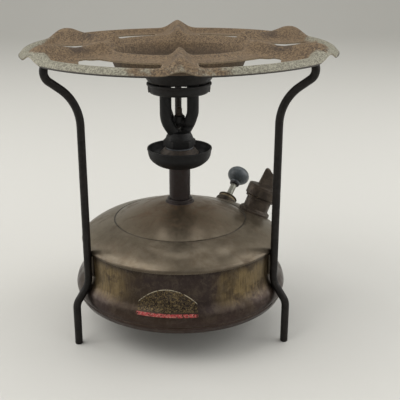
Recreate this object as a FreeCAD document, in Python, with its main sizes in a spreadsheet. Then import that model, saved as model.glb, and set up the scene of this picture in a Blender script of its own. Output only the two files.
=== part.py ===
import FreeCAD, Part
import Sketcher
import math
import os
import re

from FreeCAD import Placement, Rotation, Vector

# Paraffin pressure stove: a round fuel tank on three bent-rod legs, with a
# roarer burner, a spirit cup, a hand pump, a filler and a pressed pan support.
# Millimetres, +Z up. The origin is on the floor, under the axis of the tank.
# Azimuths are measured about +Z from -Y, the front, towards +X.

os.makedirs("parts", exist_ok=True)
doc = FreeCAD.newDocument("PressureStove")

# ---------------------------------------------------------------- sizes

dimensions = {
    # tank
    "sheetWall": 0.9,             # wall of the tank's three pressings
    "bandRadius": 82.7,           # straight side of the tank
    "bulgeRadius": 90.0,          # widest line, just above the foot
    "bulgeHeight": 38.2,
    "bandFoot": 52.4,             # where the straight side starts to swell
    "jointRadius": 89.0,          # bottom plate meets the side here
    "jointHeight": 35.0,
    "rimRadius": 86.5,            # lowest edge of the tank
    "rimHeight": 28.5,
    "floorEdge": 34.0,            # bottom plate at its edge and at its centre
    "floorCentre": 37.0,
    "seamHeight": 80.0,           # top of the straight side
    "seamLap": 3.0,               # how far the dome laps down over the side
    "shoulderRadius": 68.0,
    "shoulderHeight": 89.0,
    "creaseRadius": 55.7,
    "creaseHeight": 92.6,
    "domeTop": 107.4,
    "domeTopRadius": 10.0,
    "crownCurve": 420.0,          # radius of the dome's outline above its crease
    "shoulderCurve": 70.0,        # and between crease and shoulder
    "edgeCurve": 60.0,            # and from the shoulder to the seam
    # riser and spirit cup
    "riserRadius": 8.8,
    "riserBore": 6.4,
    "riserFoot": 96.0,
    "riserTop": 138.0,
    "collarRadius": 10.6,
    "collarTop": 110.2,
    "collarLip": 12.2,
    "cupRadius": 26.5,
    "cupRim": 154.0,
    "cupWall": 0.9,
    "skirtRadius": 16.0,
    "skirtTopRadius": 12.4,
    "skirtTop": 153.6,
    # burner
    "nutFlats": 23.0,
    "nutTop": 161.4,
    "neckRadius": 10.2,
    "neckHeight": 164.6,
    "gasketWall": 1.2,
    "tubeRadius": 4.7,
    "tubeBore": 3.2,
    "tubeSide": 11.0,             # half the spacing of the tubes in X
    "tubeFront": 6.5,             # half the spacing of the tubes in Y
    "tubeTop": 209.4,
    "tubeBend": 20.0,
    "jetBlockRadius": 4.6,
    "jetBlockFoot": 171.4,
    "jetBlockTop": 181.0,
    "nippleRadius": 2.3,
    "nippleTip": 188.0,
    "windRingRadius": 25.3,
    "windRingMouth": 21.4,
    "windRingFoot": 199.6,
    "windRingTop": 207.8,
    "windRingWall": 1.2,
    "headTop": 213.4,
    "headRadius": 21.5,
    "headBore": 8.0,
    "bellFootRadius": 25.2,
    "bellFoot": 209.2,
    "bellRadius": 33.0,
    "bellTop": 221.0,
    "bellWall": 1.0,
    "spreaderRadius": 17.0,
    "spreaderHeight": 218.6,
    "spreaderWall": 1.4,
    "looseGap": 0.3,              # air under a part that only rests in place
    # filler
    "fillerAzimuth": 110.0,
    "fillerOffset": 70.0,
    "fillerTilt": 24.0,
    "fillerFlangeRadius": 13.6,
    "fillerNeckRadius": 11.0,
    "fillerNeckBore": 8.5,
    "fillerNeckTop": 19.5,
    "capRadius": 14.0,
    "capFoot": 11.5,
    "capTop": 23.6,
    "capCrown": 2.4,
    "wingHeight": 16.3,
    "wingHalfWidth": 10.0,
    "wingThickness": 3.6,
    "wingLean": 4.0,              # the wing's peak stands off the cap's axis
    # pump
    "pumpAzimuth": 145.4,
    "pumpOffset": 76.5,
    "pumpTilt": 50.0,             # pump axis, measured from +Z
    "barrelRadius": 8.0,
    "barrelBore": 7.2,
    "barrelLength": 62.0,
    "barrelMouth": 3.0,
    "pumpCapRadius": 8.9,
    "pumpCapTop": 4.4,
    "rodRadius": 2.8,
    "rodLift": 28.2,              # knob's centre at rest, above the tank wall
    "pistonDepth": 40.0,          # piston's lower face at rest, below the wall
    "leatherRadius": 7.14,
    "knobRadius": 10.3,
    "knobDepth": 17.0,
    "knobFlat": 1.5,
    "ferruleRadius": 4.3,
    "valvePort": 1.4,
    "valveChamber": 4.2,
    "discRadius": 3.2,
    "pistonBolt": 1.5,            # thin end of the rod, through the piston
    "valveTop": 54.0,             # check valve's upper face, below the wall
    # legs
    "legRadius": 3.175,           # quarter inch rod
    "legReach": 86.8,             # straight stretch beside the tank
    "legTurn": 0.6,               # the three legs stand a little off square
    "footReach": 98.2,
    "kneeFoot": 37.0,             # where the leg starts to bend in to the tank
    "kneeTop": 54.2,
    "flareHeight": 201.4,         # where it leaves the tank's side again
    "hookHeight": 222.6,
    "hookReach": 112.6,
    "armHeight": 234.6,
    "armTip": 86.0,
    "brazeFoot": 58.0,            # fillets of braze beside each leg
    "brazeTop": 76.0,
    "brazeReach": 2.6,
    "brazeWidth": 6.4,
    # pan support
    "supportWall": 1.2,
    "supportRadius": 122.6,
    "flangeFoot": 233.0,
    "plateHeight": 237.4,
    "mouthRadius": 50.0,
    "mouthFoot": 222.0,
    "ridgeTurn": 0.6,
    "ridgeBase": 235.0,
    "slotInner": 80.0,
    "troughOuter": 109.0,         # the plate is lowest here, inside its rim
    "slotOuter": 112.5,
    "slotHalfAngle": 19.0,
}

sheet = doc.addObject("Spreadsheet::Sheet", "Sizes")
for row, (alias, amount) in enumerate(dimensions.items(), start=1):
    sheet.set(f"A{row}", alias)
    sheet.set(f"B{row}", str(amount))
    sheet.setAlias(f"B{row}", alias)
doc.recompute()

aliasPattern = re.compile(r"\b(" + "|".join(dimensions) + r")\b")


def linked(expression):
    """The same expression with every size read from the sheet."""
    return aliasPattern.sub(r"Sizes.\1", str(expression))


def size(expression):
    """The number that an expression of sheet sizes comes to now."""
    return float(sheet.evalExpression(linked(expression)))


def bind(feature, setting, expression):
    feature.setExpression(setting, linked(expression))


# ---------------------------------------------------------------- sketches

ORIGIN_POINT = (-1, 1)


def newBody(label):
    body = doc.addObject("PartDesign::Body", label)
    body.Label = label
    return body


def originFeature(body, role):
    return next(item for item in body.Origin.OriginFeatures if item.Role == role)


def newSketch(body, name, plane="XZ_Plane", offset=None):
    """A sketch on one of the body's own planes, offset along its normal."""
    sketch = body.newObject("Sketcher::SketchObject", name)
    sketch.AttachmentSupport = (originFeature(body, plane), [""])
    sketch.MapMode = "FlatFace"
    if offset is not None:
        bind(sketch, "AttachmentOffset.Base.z", offset)
        sketch.AttachmentOffset = Placement(Vector(0, 0, size(offset)), Rotation())
    return sketch


def addSized(sketch, kind, parts, expression):
    """One constraint whose value follows an expression of sheet sizes."""
    index = sketch.addConstraint(Sketcher.Constraint(kind, *parts, size(expression)))
    sketch.setExpression(f"Constraints[{index}]", linked(expression))


def pinPoint(sketch, geometry, end, across, up):
    addSized(sketch, "DistanceX", (*ORIGIN_POINT, geometry, end), across)
    addSized(sketch, "DistanceY", (*ORIGIN_POINT, geometry, end), up)


def arcThrough(start, finish, radius):
    """Minor arc from start to finish; a negative radius turns clockwise."""
    chord = finish - start
    reach = abs(radius)
    rise = math.sqrt(max(reach ** 2 - (chord.Length / 2) ** 2, 0))
    normal = Vector(-chord.y, chord.x, 0).normalize()
    side = 1 if radius > 0 else -1
    centre = (start + finish) / 2 + normal * rise * side
    first, last = (start, finish) if side > 0 else (finish, start)
    angles = [math.atan2(p.y - centre.y, p.x - centre.x) for p in (first, last)]
    if angles[1] < angles[0]:
        angles[1] += 2 * math.pi
    return Part.ArcOfCircle(Part.Circle(centre, Vector(0, 0, 1), reach), *angles)


def addOutline(sketch, corners):
    """A closed outline. A corner is (across, up), or (across, up, radius) where
    an arc leads to the next corner; a negative radius turns clockwise."""
    points = [Vector(size(corner[0]), size(corner[1]), 0) for corner in corners]
    count = len(corners)
    starts = []
    ends = []
    for index, corner in enumerate(corners):
        here, there = points[index], points[(index + 1) % count]
        if len(corner) == 3:
            radius = size(corner[2])
            edge = sketch.addGeometry(arcThrough(here, there, radius))
            starts.append((edge, 1 if radius > 0 else 2))
            ends.append((edge, 2 if radius > 0 else 1))
        else:
            edge = sketch.addGeometry(Part.LineSegment(here, there))
            starts.append((edge, 1))
            ends.append((edge, 2))
    for index in range(count):
        joint = (*ends[index - 1], *starts[index])
        sketch.addConstraint(Sketcher.Constraint("Coincident", *joint))
    for index, corner in enumerate(corners):
        pinPoint(sketch, *starts[index], corner[0], corner[1])
        if len(corner) == 3:
            addSized(sketch, "Radius", (starts[index][0],), f"abs({corner[2]})")


def addCircle(sketch, across, up, radius):
    centre = Vector(size(across), size(up), 0)
    edge = sketch.addGeometry(Part.Circle(centre, Vector(0, 0, 1), size(radius)))
    pinPoint(sketch, edge, 3, across, up)
    addSized(sketch, "Radius", (edge,), radius)


def addBentLine(sketch, corners):
    """An open line of straight runs. A corner is (across, up), or (across, up,
    radius) where an arc of that radius rounds it, tangent to both its runs."""
    points = [Vector(size(corner[0]), size(corner[1]), 0) for corner in corners]
    runs = [(b - a).normalize() for a, b in zip(points, points[1:])]
    setback = [0.0] * len(points)
    for index in range(1, len(points) - 1):
        turn = runs[index - 1].getAngle(runs[index])
        setback[index] = size(corners[index][2]) * math.tan(turn / 2)
    lines = []
    for index, run in enumerate(runs):
        start = points[index] + run * setback[index]
        finish = points[index + 1] - run * setback[index + 1]
        lines.append(sketch.addGeometry(Part.LineSegment(start, finish)))
    marks = [sketch.addGeometry(Part.Point(point), True) for point in points]
    for index, mark in enumerate(marks):
        pinPoint(sketch, mark, 1, corners[index][0], corners[index][1])
    lastMark = len(marks) - 1
    sketch.addConstraint(Sketcher.Constraint("Coincident", lines[0], 1, marks[0], 1))
    sketch.addConstraint(
        Sketcher.Constraint("Coincident", lines[-1], 2, marks[lastMark], 1))
    for index in range(1, lastMark):
        before, after, mark = lines[index - 1], lines[index], marks[index]
        radius = size(corners[index][2])
        turn = runs[index - 1].cross(runs[index]).z
        start = points[index] - runs[index - 1] * setback[index]
        finish = points[index] + runs[index] * setback[index]
        arc = sketch.addGeometry(
            arcThrough(start, finish, math.copysign(radius, turn)))
        first, last = (1, 2) if turn > 0 else (2, 1)
        for line, end, arcEnd in ((before, 2, first), (after, 1, last)):
            sketch.addConstraint(
                Sketcher.Constraint("Tangent", line, end, arc, arcEnd))
            sketch.addConstraint(Sketcher.Constraint("PointOnObject", mark, 1, line))
        addSized(sketch, "Radius", (arc,), corners[index][2])


# ---------------------------------------------------------------- pieces

pieces = {}


def keep(label, feature):
    """The feature is a finished piece, and its label is the node's name."""
    feature.Label = label
    pieces[label] = feature
    return feature


def turned(label, corners, place=None):
    """A body turned on a lathe: a closed outline of (radius, height)."""
    body = newBody(label)
    sketch = newSketch(body, f"{label}_profile")
    addOutline(sketch, corners)
    turn = body.newObject("PartDesign::Revolution", f"{label}_turned")
    turn.Profile = (sketch, [""])
    turn.ReferenceAxis = (sketch, ["V_Axis"])
    turn.Angle = 360
    if place is not None:
        body.Placement = place
    return body


def ring(label, inner, outer, foot, top, place=None):
    corners = [(inner, foot), (outer, foot), (outer, top), (inner, top)]
    return turned(label, corners, place)


def cutBy(label, blank, *tools):
    """The blank without the space that the tools take."""
    cutter = tools[0]
    if len(tools) > 1:
        cutter = doc.addObject("Part::MultiFuse", f"{label}_cutters")
        cutter.Shapes = list(tools)
    cut = doc.addObject("Part::Cut", label)
    cut.Base = blank
    cut.Tool = cutter
    return cut


def rod(label, radius, foot, length, place=None):
    """A plain cylinder whose foot lies at a height in its own frame."""
    cylinder = doc.addObject("Part::Cylinder", label)
    bind(cylinder, "Radius", radius)
    bind(cylinder, "Height", length)
    base = place if place is not None else Placement()
    cylinder.Placement = base.multiply(Placement(Vector(0, 0, size(foot)), Rotation()))
    return cylinder


def bentTube(label, corners, radius, bore=None):
    """A rod or tube that follows a line in the body's own XZ plane. The line
    starts upward, so its section lies level at the first corner."""
    body = newBody(label)
    spine = newSketch(body, f"{label}_line")
    addBentLine(spine, corners)
    section = newSketch(body, f"{label}_section", "XY_Plane", corners[0][1])
    addCircle(section, corners[0][0], "0", radius)
    if bore is not None:
        addCircle(section, corners[0][0], "0", bore)
    doc.recompute()
    pipe = body.newObject("PartDesign::AdditivePipe", f"{label}_pipe")
    pipe.Profile = (section, [""])
    pipe.Spine = (spine, [f"Edge{n + 1}" for n in range(len(spine.Shape.Edges))])
    return body


def turnedAbout(azimuth):
    """The placement that turns local +X to an azimuth."""
    return Placement(Vector(), Rotation(Vector(0, 0, 1), azimuth - 90))


def tiltedPlace(azimuth, offset, height, tilt):
    """The frame of a fitting that leans outwards: its +Z is the fitting's own
    axis and its +X lies in the upright plane through the tank's axis."""
    base = Placement(Vector(offset, 0, height), Rotation(Vector(0, 1, 0), tilt))
    return turnedAbout(azimuth).multiply(base)


def group(label, members):
    """Several equal pieces that share one node, each still its own solid."""
    bundle = doc.addObject("Part::Compound", label)
    bundle.Links = members
    return bundle


def domeHeight(radius):
    """Height of the dome's outside at a radius outside the crease."""
    if radius < size("shoulderRadius"):
        inner = (size("creaseRadius"), size("creaseHeight"))
        outer = (size("shoulderRadius"), size("shoulderHeight"))
    else:
        inner = (size("shoulderRadius"), size("shoulderHeight"))
        outer = (size("bandRadius"), size("seamHeight"))
    share = (radius - inner[0]) / (outer[0] - inner[0])
    return inner[1] + share * (outer[1] - inner[1])


fillerPlace = tiltedPlace(size("fillerAzimuth"), size("fillerOffset"),
                          domeHeight(size("fillerOffset")) + 0.6, size("fillerTilt"))
pumpPlace = tiltedPlace(size("pumpAzimuth"), size("pumpOffset"),
                        domeHeight(size("pumpOffset")) + 0.9, size("pumpTilt"))


def makeTank():
    side = [
        ("bandRadius", "seamHeight - 1.5"),
        ("bandRadius - sheetWall", "seamHeight - 1.5"),
        ("bandRadius - sheetWall", "bandFoot", "15"),
        ("bulgeRadius - sheetWall - 1.2", "bulgeHeight + 5.6", "-9"),
        ("jointRadius - sheetWall", "jointHeight"),
        ("jointRadius", "jointHeight", "9"),
        ("bulgeRadius", "bulgeHeight", "12"),
        ("bulgeRadius - 1.2", "bulgeHeight + 5.6", "-14"),
        ("bandRadius", "bandFoot"),
    ]
    keep("tank_side", turned("tank_side", side))

    bottom = [
        ("jointRadius + 0.2", "jointHeight"),
        ("jointRadius - sheetWall - 0.2", "jointHeight"),
        ("rimRadius - 0.8", "rimHeight + 2"),
        ("rimRadius - 4", "floorEdge"),
        ("0", "floorCentre"),
        ("0", "floorCentre - sheetWall"),
        ("rimRadius - 3.6", "floorEdge - sheetWall"),
        ("rimRadius - 1", "rimHeight"),
        ("rimRadius", "rimHeight", "8"),
    ]
    keep("tank_bottom", turned("tank_bottom", bottom))


def domeOutline():
    """Outside of the dome, from the seam's edge up to the riser."""
    return [
        ("bandRadius", "seamHeight - seamLap"),
        ("bandRadius + sheetWall", "seamHeight - seamLap"),
        ("bandRadius + sheetWall", "seamHeight - 0.8", "0.8"),
        ("bandRadius + sheetWall - 0.8", "seamHeight", "edgeCurve"),
        ("shoulderRadius", "shoulderHeight", "shoulderCurve"),
        ("creaseRadius", "creaseHeight", "crownCurve"),
        ("domeTopRadius", "domeTop"),
    ]


def makeDome():
    inside = [
        ("domeTopRadius", "domeTop - sheetWall", "-crownCurve"),
        ("creaseRadius", "creaseHeight - sheetWall", "-shoulderCurve"),
        ("shoulderRadius - 0.4", "shoulderHeight - sheetWall", "-edgeCurve"),
        ("bandRadius - 1.4", "seamHeight - 0.4"),
        ("bandRadius", "seamHeight - 1.5"),
    ]
    blank = turned("dome_blank", domeOutline() + inside)
    holes = [
        rod("riser_hole", "riserRadius", "90", "30"),
        rod("filler_hole", "fillerNeckRadius", "-12", "30", fillerPlace),
        rod("pump_hole", "barrelRadius", "-14", "30", pumpPlace),
    ]
    keep("tank_dome", cutBy("tank_dome", blank, *holes))
    return turned("dome_solid", domeOutline() + [("0", "domeTop"), ("0", "60"),
                                                 ("bandRadius", "60")])


def makeRiser(domeSolid):
    collar = turned("collar_blank", [
        ("riserRadius", "domeTop - 6"),
        ("collarLip + 1", "domeTop - 6"),
        ("collarLip + 1", "domeTop - 0.2"),
        ("collarLip", "domeTop + 0.6"),
        ("collarRadius", "domeTop + 0.8"),
        ("collarRadius", "collarTop - 0.8", "0.8"),
        ("collarRadius - 0.8", "collarTop"),
        ("riserRadius", "collarTop"),
    ])
    keep("riser_collar", cutBy("riser_collar", collar, domeSolid))
    keep("riser_tube", ring("riser_tube", "riserBore", "riserRadius",
                            "riserFoot", "riserTop"))


def makeCup():
    keep("spirit_cup", turned("spirit_cup", [
        ("riserBore + 0.4", "riserTop"),
        ("riserRadius + 2.4", "riserTop", "22"),
        ("cupRadius - 2.6", "riserTop + 5.6", "14"),
        ("cupRadius", "cupRim - 0.45", "0.45"),
        ("cupRadius - cupWall", "cupRim - 0.45", "-13"),
        ("cupRadius - 2.6 - cupWall", "riserTop + 6.2", "-21"),
        ("riserRadius + 2.4", "riserTop + cupWall"),
        ("riserBore + 0.4", "riserTop + cupWall"),
    ]))
    keep("cup_skirt", turned("cup_skirt", [
        ("riserBore + 1.6", "riserTop + cupWall"),
        ("riserRadius + 2.4", "riserTop + cupWall"),
        ("skirtRadius", "riserTop + 3.4"),
        ("skirtRadius", "riserTop + 11.6"),
        ("skirtTopRadius", "skirtTop"),
        ("riserBore + 1.6", "skirtTop"),
    ]))


def makeBurnerNut():
    body = newBody("burner_nut")
    hexagon = newSketch(body, "burner_nut_hexagon", "XY_Plane", "skirtTop + gasketWall")
    corner = "nutFlats / sqrt(3)"
    addOutline(hexagon, [(f"{corner} * cos({60 * n + 8})", f"{corner} * sin({60 * n + 8})")
                         for n in range(6)])
    pad = body.newObject("PartDesign::Pad", "burner_nut_pad")
    pad.Profile = (hexagon, [""])
    bind(pad, "Length", "nutTop - skirtTop - gasketWall")
    neck = newSketch(body, "burner_nut_neck")
    addOutline(neck, [
        ("0", "nutTop"),
        ("nutFlats / 2", "nutTop"),
        ("neckRadius + 0.7", "nutTop + 2"),
        ("neckRadius", "neckHeight"),
        ("neckRadius - 1", "neckHeight + 2.4"),
        ("neckRadius - 4.4", "neckHeight + 3.8"),
        ("0", "neckHeight + 3.8"),
    ])
    turn = body.newObject("PartDesign::Revolution", "burner_nut_neck_turned")
    turn.Profile = (neck, [""])
    turn.ReferenceAxis = (neck, ["V_Axis"])
    turn.Angle = 360
    feed = newSketch(body, "burner_nut_bore")
    addOutline(feed, [("0", "skirtTop"), ("tubeBore", "skirtTop"),
                      ("tubeBore", "neckHeight - 2"), ("0", "neckHeight")])
    groove = body.newObject("PartDesign::Groove", "burner_nut_feed")
    groove.Profile = (feed, [""])
    groove.ReferenceAxis = (feed, ["V_Axis"])
    groove.Angle = 360
    keep("burner_nut", body)
    keep("burner_gasket", ring("burner_gasket", "riserBore", "neckRadius + 1",
                               "skirtTop", "skirtTop + gasketWall"))


def makeBurnerTubes():
    """Two tubes climb from the nut to the head, two come down to the jet."""
    reach = "sqrt(tubeSide ^ 2 + tubeFront ^ 2)"
    lean = math.degrees(math.atan2(size("tubeFront"), size("tubeSide")))
    climbing = [
        ("tubeRadius + 0.05", "neckHeight - 2"),
        ("tubeRadius + 0.05", "neckHeight + 1.5", "5"),
        (reach, "neckHeight + 13", "tubeBend"),
        (reach, "tubeTop"),
    ]
    climbers = []
    fallers = []
    for number, angle in enumerate((lean, lean + 180)):
        name = f"climbing_tube_{number + 1}"
        member = bentTube(name, climbing, "tubeRadius", "tubeBore")
        member.Placement = Placement(Vector(), Rotation(Vector(0, 0, 1), angle))
        climbers.append(member)
    for number, side in enumerate((1, -1)):
        place = Placement(Vector(side * size("tubeSide"), -side * size("tubeFront"), 0),
                          Rotation())
        name = f"falling_tube_{number + 1}"
        fallers.append(turned(name, fallingTubeOutline(), place))
    keep("climbing_tubes", group("climbing_tubes", climbers))
    keep("falling_tubes", group("falling_tubes", fallers))


def fallingTubeOutline():
    """A tube closed by a round end a little above the jet block's foot."""
    return [
        ("0", "jetBlockTop - 9.5", "6"),
        ("tubeRadius", "jetBlockTop - 5"),
        ("tubeRadius", "tubeTop"),
        ("tubeBore", "tubeTop"),
        ("tubeBore", "jetBlockTop - 5"),
        ("0", "jetBlockTop - 7.6"),
    ]


def makeJet():
    """The jet block, on an arm that joins the two falling tubes."""
    lean = math.degrees(math.atan2(size("tubeFront"), size("tubeSide")))
    block = turned("jet_block_core", [
        ("0", "jetBlockFoot"),
        ("jetBlockRadius - 2", "jetBlockFoot"),
        ("jetBlockRadius", "jetBlockFoot + 4"),
        ("jetBlockRadius", "jetBlockTop - 1"),
        ("jetBlockRadius - 1", "jetBlockTop"),
        ("0", "jetBlockTop"),
    ])
    arm = doc.addObject("Part::Cylinder", "jet_arm")
    bind(arm, "Radius", "tubeRadius - 1.2")
    bind(arm, "Height", "2 * sqrt(tubeSide ^ 2 + tubeFront ^ 2)")
    outwards = Rotation(Vector(0, 0, 1), -lean).multiply(Rotation(Vector(0, 1, 0), 90))
    start = outwards.multVec(Vector(0, 0, -size("sqrt(tubeSide ^ 2 + tubeFront ^ 2)")))
    arm.Placement = Placement(start + Vector(0, 0, size("jetBlockTop - 5.2")), outwards)
    body = doc.addObject("Part::Fuse", "jet_block")
    body.Base = block
    body.Tool = arm
    keep("jet_block", body)
    keep("jet_nipple", turned("jet_nipple", [
        ("0.6", "jetBlockTop"),
        ("nippleRadius", "jetBlockTop"),
        ("nippleRadius", "nippleTip - 1.6"),
        ("nippleRadius - 1", "nippleTip"),
        ("0.6", "nippleTip"),
    ]))


def makeWindRing():
    shell = turned("wind_ring_shell", [
        ("windRingMouth", "windRingFoot"),
        ("windRingRadius - 1.2", "windRingFoot + 1.2", "4"),
        ("windRingRadius", "windRingFoot + 3.4"),
        ("windRingRadius", "windRingTop - 2"),
        ("windRingRadius + 0.8", "windRingTop - 1.2", "0.9"),
        ("windRingRadius + 0.2", "windRingTop"),
        ("windRingRadius - windRingWall", "windRingTop"),
        ("windRingRadius - windRingWall", "windRingFoot + 3.4"),
        ("windRingRadius - windRingWall - 1.2", "windRingFoot + 2.2"),
        ("windRingMouth", "windRingFoot + windRingWall"),
    ])
    brackets = []
    for number, side in enumerate((-1, 1)):
        bracket = doc.addObject("Part::Box", f"wind_ring_bracket_{number + 1}")
        bind(bracket, "Length", "windRingRadius - tubeSide - 1.6")
        bind(bracket, "Width", "2 * tubeFront")
        bind(bracket, "Height", "windRingWall + 1")
        start = size("tubeSide + 1") if side > 0 else -size("windRingRadius - 0.6")
        bracket.Placement = Placement(
            Vector(start, -size("tubeFront"), size("windRingFoot + 0.9")), Rotation())
        brackets.append(bracket)
    body = doc.addObject("Part::MultiFuse", "wind_ring")
    body.Shapes = [shell, *brackets]
    keep("wind_ring", body)


def makeHead():
    keep("burner_head", turned("burner_head", [
        ("headBore", "tubeTop"),
        ("headRadius - 1.5", "tubeTop", "2"),
        ("headRadius", "tubeTop + 1.6"),
        ("headRadius", "headTop - 1.8"),
        ("headRadius - 1.6", "headTop - 1.8"),
        ("headRadius - 1.6", "headTop"),
        ("headBore + 1.5", "headTop"),
        ("headBore", "headTop - 1.5"),
    ]))


def makeBell():
    """The loose bell, whose web hooks over the shoulder of the head."""
    keep("flame_bell", turned("flame_bell", [
        ("headRadius - 1.3", "headTop - 1.8 + looseGap"),
        ("bellFootRadius - 2.4", "headTop - 1.8 + looseGap"),
        ("bellFootRadius - bellWall", "bellFoot"),
        ("bellFootRadius", "bellFoot"),
        ("bellRadius", "bellTop - 0.5", "0.6"),
        ("bellRadius - bellWall", "bellTop"),
        ("bellFootRadius - 0.4", "headTop - 0.8 + looseGap"),
        ("headRadius - 1.3", "headTop - 0.8 + looseGap"),
    ]))


def makeSpreader():
    """A shallow dish on three pegs that stand on the head."""
    dish = turned("spreader_dish", [
        ("0", "spreaderHeight - 1.2"),
        ("spreaderRadius - 5", "spreaderHeight - 0.6"),
        ("spreaderRadius", "spreaderHeight - 2.6"),
        ("spreaderRadius", "spreaderHeight - 1.4"),
        ("spreaderRadius - 5", "spreaderHeight + spreaderWall - 0.6"),
        ("0", "spreaderHeight + spreaderWall - 1.2"),
    ])
    pegs = []
    for number in range(3):
        peg = doc.addObject("Part::Cylinder", f"spreader_peg_{number + 1}")
        bind(peg, "Radius", "1.3")
        bind(peg, "Height", "spreaderHeight - headTop - looseGap")
        angle = math.radians(120 * number + 30)
        reach = size("headRadius - 8")
        peg.Placement = Placement(Vector(reach * math.cos(angle), reach * math.sin(angle),
                                         size("headTop + looseGap")), Rotation())
        pegs.append(peg)
    body = doc.addObject("Part::MultiFuse", "flame_spreader")
    body.Shapes = [dish, *pegs]
    keep("flame_spreader", body)


def makeFiller(domeSolid):
    flange = turned("filler_flange_blank", [
        ("fillerNeckRadius", "-9"),
        ("fillerFlangeRadius", "-9"),
        ("fillerFlangeRadius", "1.2"),
        ("fillerFlangeRadius - 0.8", "2"),
        ("fillerNeckRadius", "2"),
    ], fillerPlace)
    keep("filler_flange", cutBy("filler_flange", flange, domeSolid))
    keep("filler_neck", turned("filler_neck", [
        ("fillerNeckBore", "-6"),
        ("fillerNeckRadius", "-6"),
        ("fillerNeckRadius", "fillerNeckTop - 1"),
        ("fillerNeckRadius - 1", "fillerNeckTop"),
        ("fillerNeckBore", "fillerNeckTop"),
    ], fillerPlace))
    keep("filler_gasket", ring("filler_gasket", "fillerNeckBore", "fillerNeckRadius",
                               "fillerNeckTop + 0.05", "fillerNeckTop + 1.55", fillerPlace))
    makeFillerCap()


def makeFillerCap():
    """A cap that screws over the neck, with a peaked wing to turn it by."""
    body = turned("filler_cap", [
        ("fillerNeckRadius + 0.06", "capFoot"),
        ("capRadius - 1.2", "capFoot"),
        ("capRadius - 1.2", "capFoot + 1.6"),
        ("capRadius", "capFoot + 2.4"),
        ("capRadius", "capTop - 1.2", "1.2"),
        ("capRadius - 1.2", "capTop", "60"),
        ("0", "capTop + capCrown * 0.6"),
        ("0", "fillerNeckTop + 1.6"),
        ("fillerNeckRadius + 0.06", "fillerNeckTop + 1.6"),
    ], fillerPlace)
    wing = newSketch(body, "filler_cap_wing", "XZ_Plane")
    addOutline(wing, [
        ("4 - wingHalfWidth - wingLean", "capTop - 0.6"),
        ("wingHalfWidth", "capTop - 0.6"),
        ("wingHalfWidth", "capTop + 5", "5"),
        ("wingHalfWidth - 3", "capTop + wingHeight - 5.2"),
        ("wingLean - 1.4", "capTop + wingHeight - 3.4", "-7"),
        ("2 - wingLean", "capTop + wingHeight - 1.2", "2.4"),
        ("-1.4 - wingLean", "capTop + wingHeight - 1.6"),
        ("2.4 - wingHalfWidth - wingLean / 2", "capTop + 4"),
    ])
    pad = body.newObject("PartDesign::Pad", "filler_cap_wing_pad")
    pad.Profile = (wing, [""])
    pad.Midplane = True
    bind(pad, "Length", "wingThickness")
    keep("filler_cap", body)


def makePump(domeSolid):
    """The barrel dips into the tank; depths below the wall are negative."""
    bosses = turned("pump_flange_blank", [
        ("barrelRadius", "-9"),
        ("barrelRadius + 1.8", "-9"),
        ("barrelRadius + 1.8", "-0.4"),
        ("barrelRadius + 1", "0.8"),
        ("barrelRadius", "0.8"),
    ], pumpPlace)
    keep("pump_flange", cutBy("pump_flange", bosses, domeSolid))
    keep("pump_barrel", ring("pump_barrel", "barrelBore", "barrelRadius",
                             "-barrelLength", "barrelMouth", pumpPlace))
    keep("pump_cap", turned("pump_cap", [
        ("rodRadius + 0.06", "-4"),
        ("barrelBore", "-4"),
        ("barrelBore", "barrelMouth"),
        ("pumpCapRadius", "barrelMouth"),
        ("pumpCapRadius", "pumpCapTop - 0.6"),
        ("pumpCapRadius - 1", "pumpCapTop"),
        ("rodRadius + 0.06", "pumpCapTop"),
    ], pumpPlace))
    keep("check_valve", turned("check_valve", [
        ("valvePort", "-barrelLength - 4"),
        ("barrelRadius - 2", "-barrelLength - 4"),
        ("barrelRadius", "-barrelLength - 2.4"),
        ("barrelRadius", "-barrelLength"),
        ("barrelBore", "-barrelLength"),
        ("barrelBore", "-valveTop"),
        ("valvePort", "-valveTop"),
        ("valvePort", "-valveTop - 2"),
        ("valveChamber", "-valveTop - 2"),
        ("valveChamber", "-barrelLength - 2.6"),
        ("valvePort", "-barrelLength - 2.6"),
    ], pumpPlace))
    makeValveInsides()
    makePlunger()


def makeValveInsides():
    """A cork seat disc in a cup, held against its seat by a spring."""
    keep("valve_disc", turned("valve_disc", [
        ("0", "-valveTop - 4.2"),
        ("discRadius", "-valveTop - 4.2"),
        ("discRadius", "-valveTop - 2.02"),
        ("0", "-valveTop - 2.02"),
    ], pumpPlace))
    keep("valve_holder", turned("valve_holder", [
        ("0", "-valveTop - 6"),
        ("discRadius - 1.7", "-valveTop - 6"),
        ("discRadius - 1.7", "-valveTop - 5.2"),
        ("valveChamber - 0.1", "-valveTop - 5.2"),
        ("valveChamber - 0.1", "-valveTop - 2.6"),
        ("discRadius", "-valveTop - 2.6"),
        ("discRadius", "-valveTop - 4.2"),
        ("0", "-valveTop - 4.2"),
    ], pumpPlace))
    keep("valve_spring", coil("valve_spring", 2.9, 0.32, -size("barrelLength") - 2.2,
                              -size("valveTop") - 5.6, 5, pumpPlace))


def coil(label, radius, wire, foot, top, turns, place):
    """A compression spring, wound with Part's own helix."""
    helix = Part.makeHelix((top - foot) / turns, top - foot, radius)
    start = Vector(radius, 0, 0)
    slope = Vector(0, 2 * math.pi * radius, (top - foot) / turns)
    section = Part.Wire(Part.makeCircle(wire, start, slope))
    spring = doc.addObject("Part::Feature", label)
    spring.Shape = Part.Wire(helix).makePipeShell([section], True, True)
    spring.Placement = place.multiply(Placement(Vector(0, 0, foot), Rotation()))
    return spring


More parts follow.
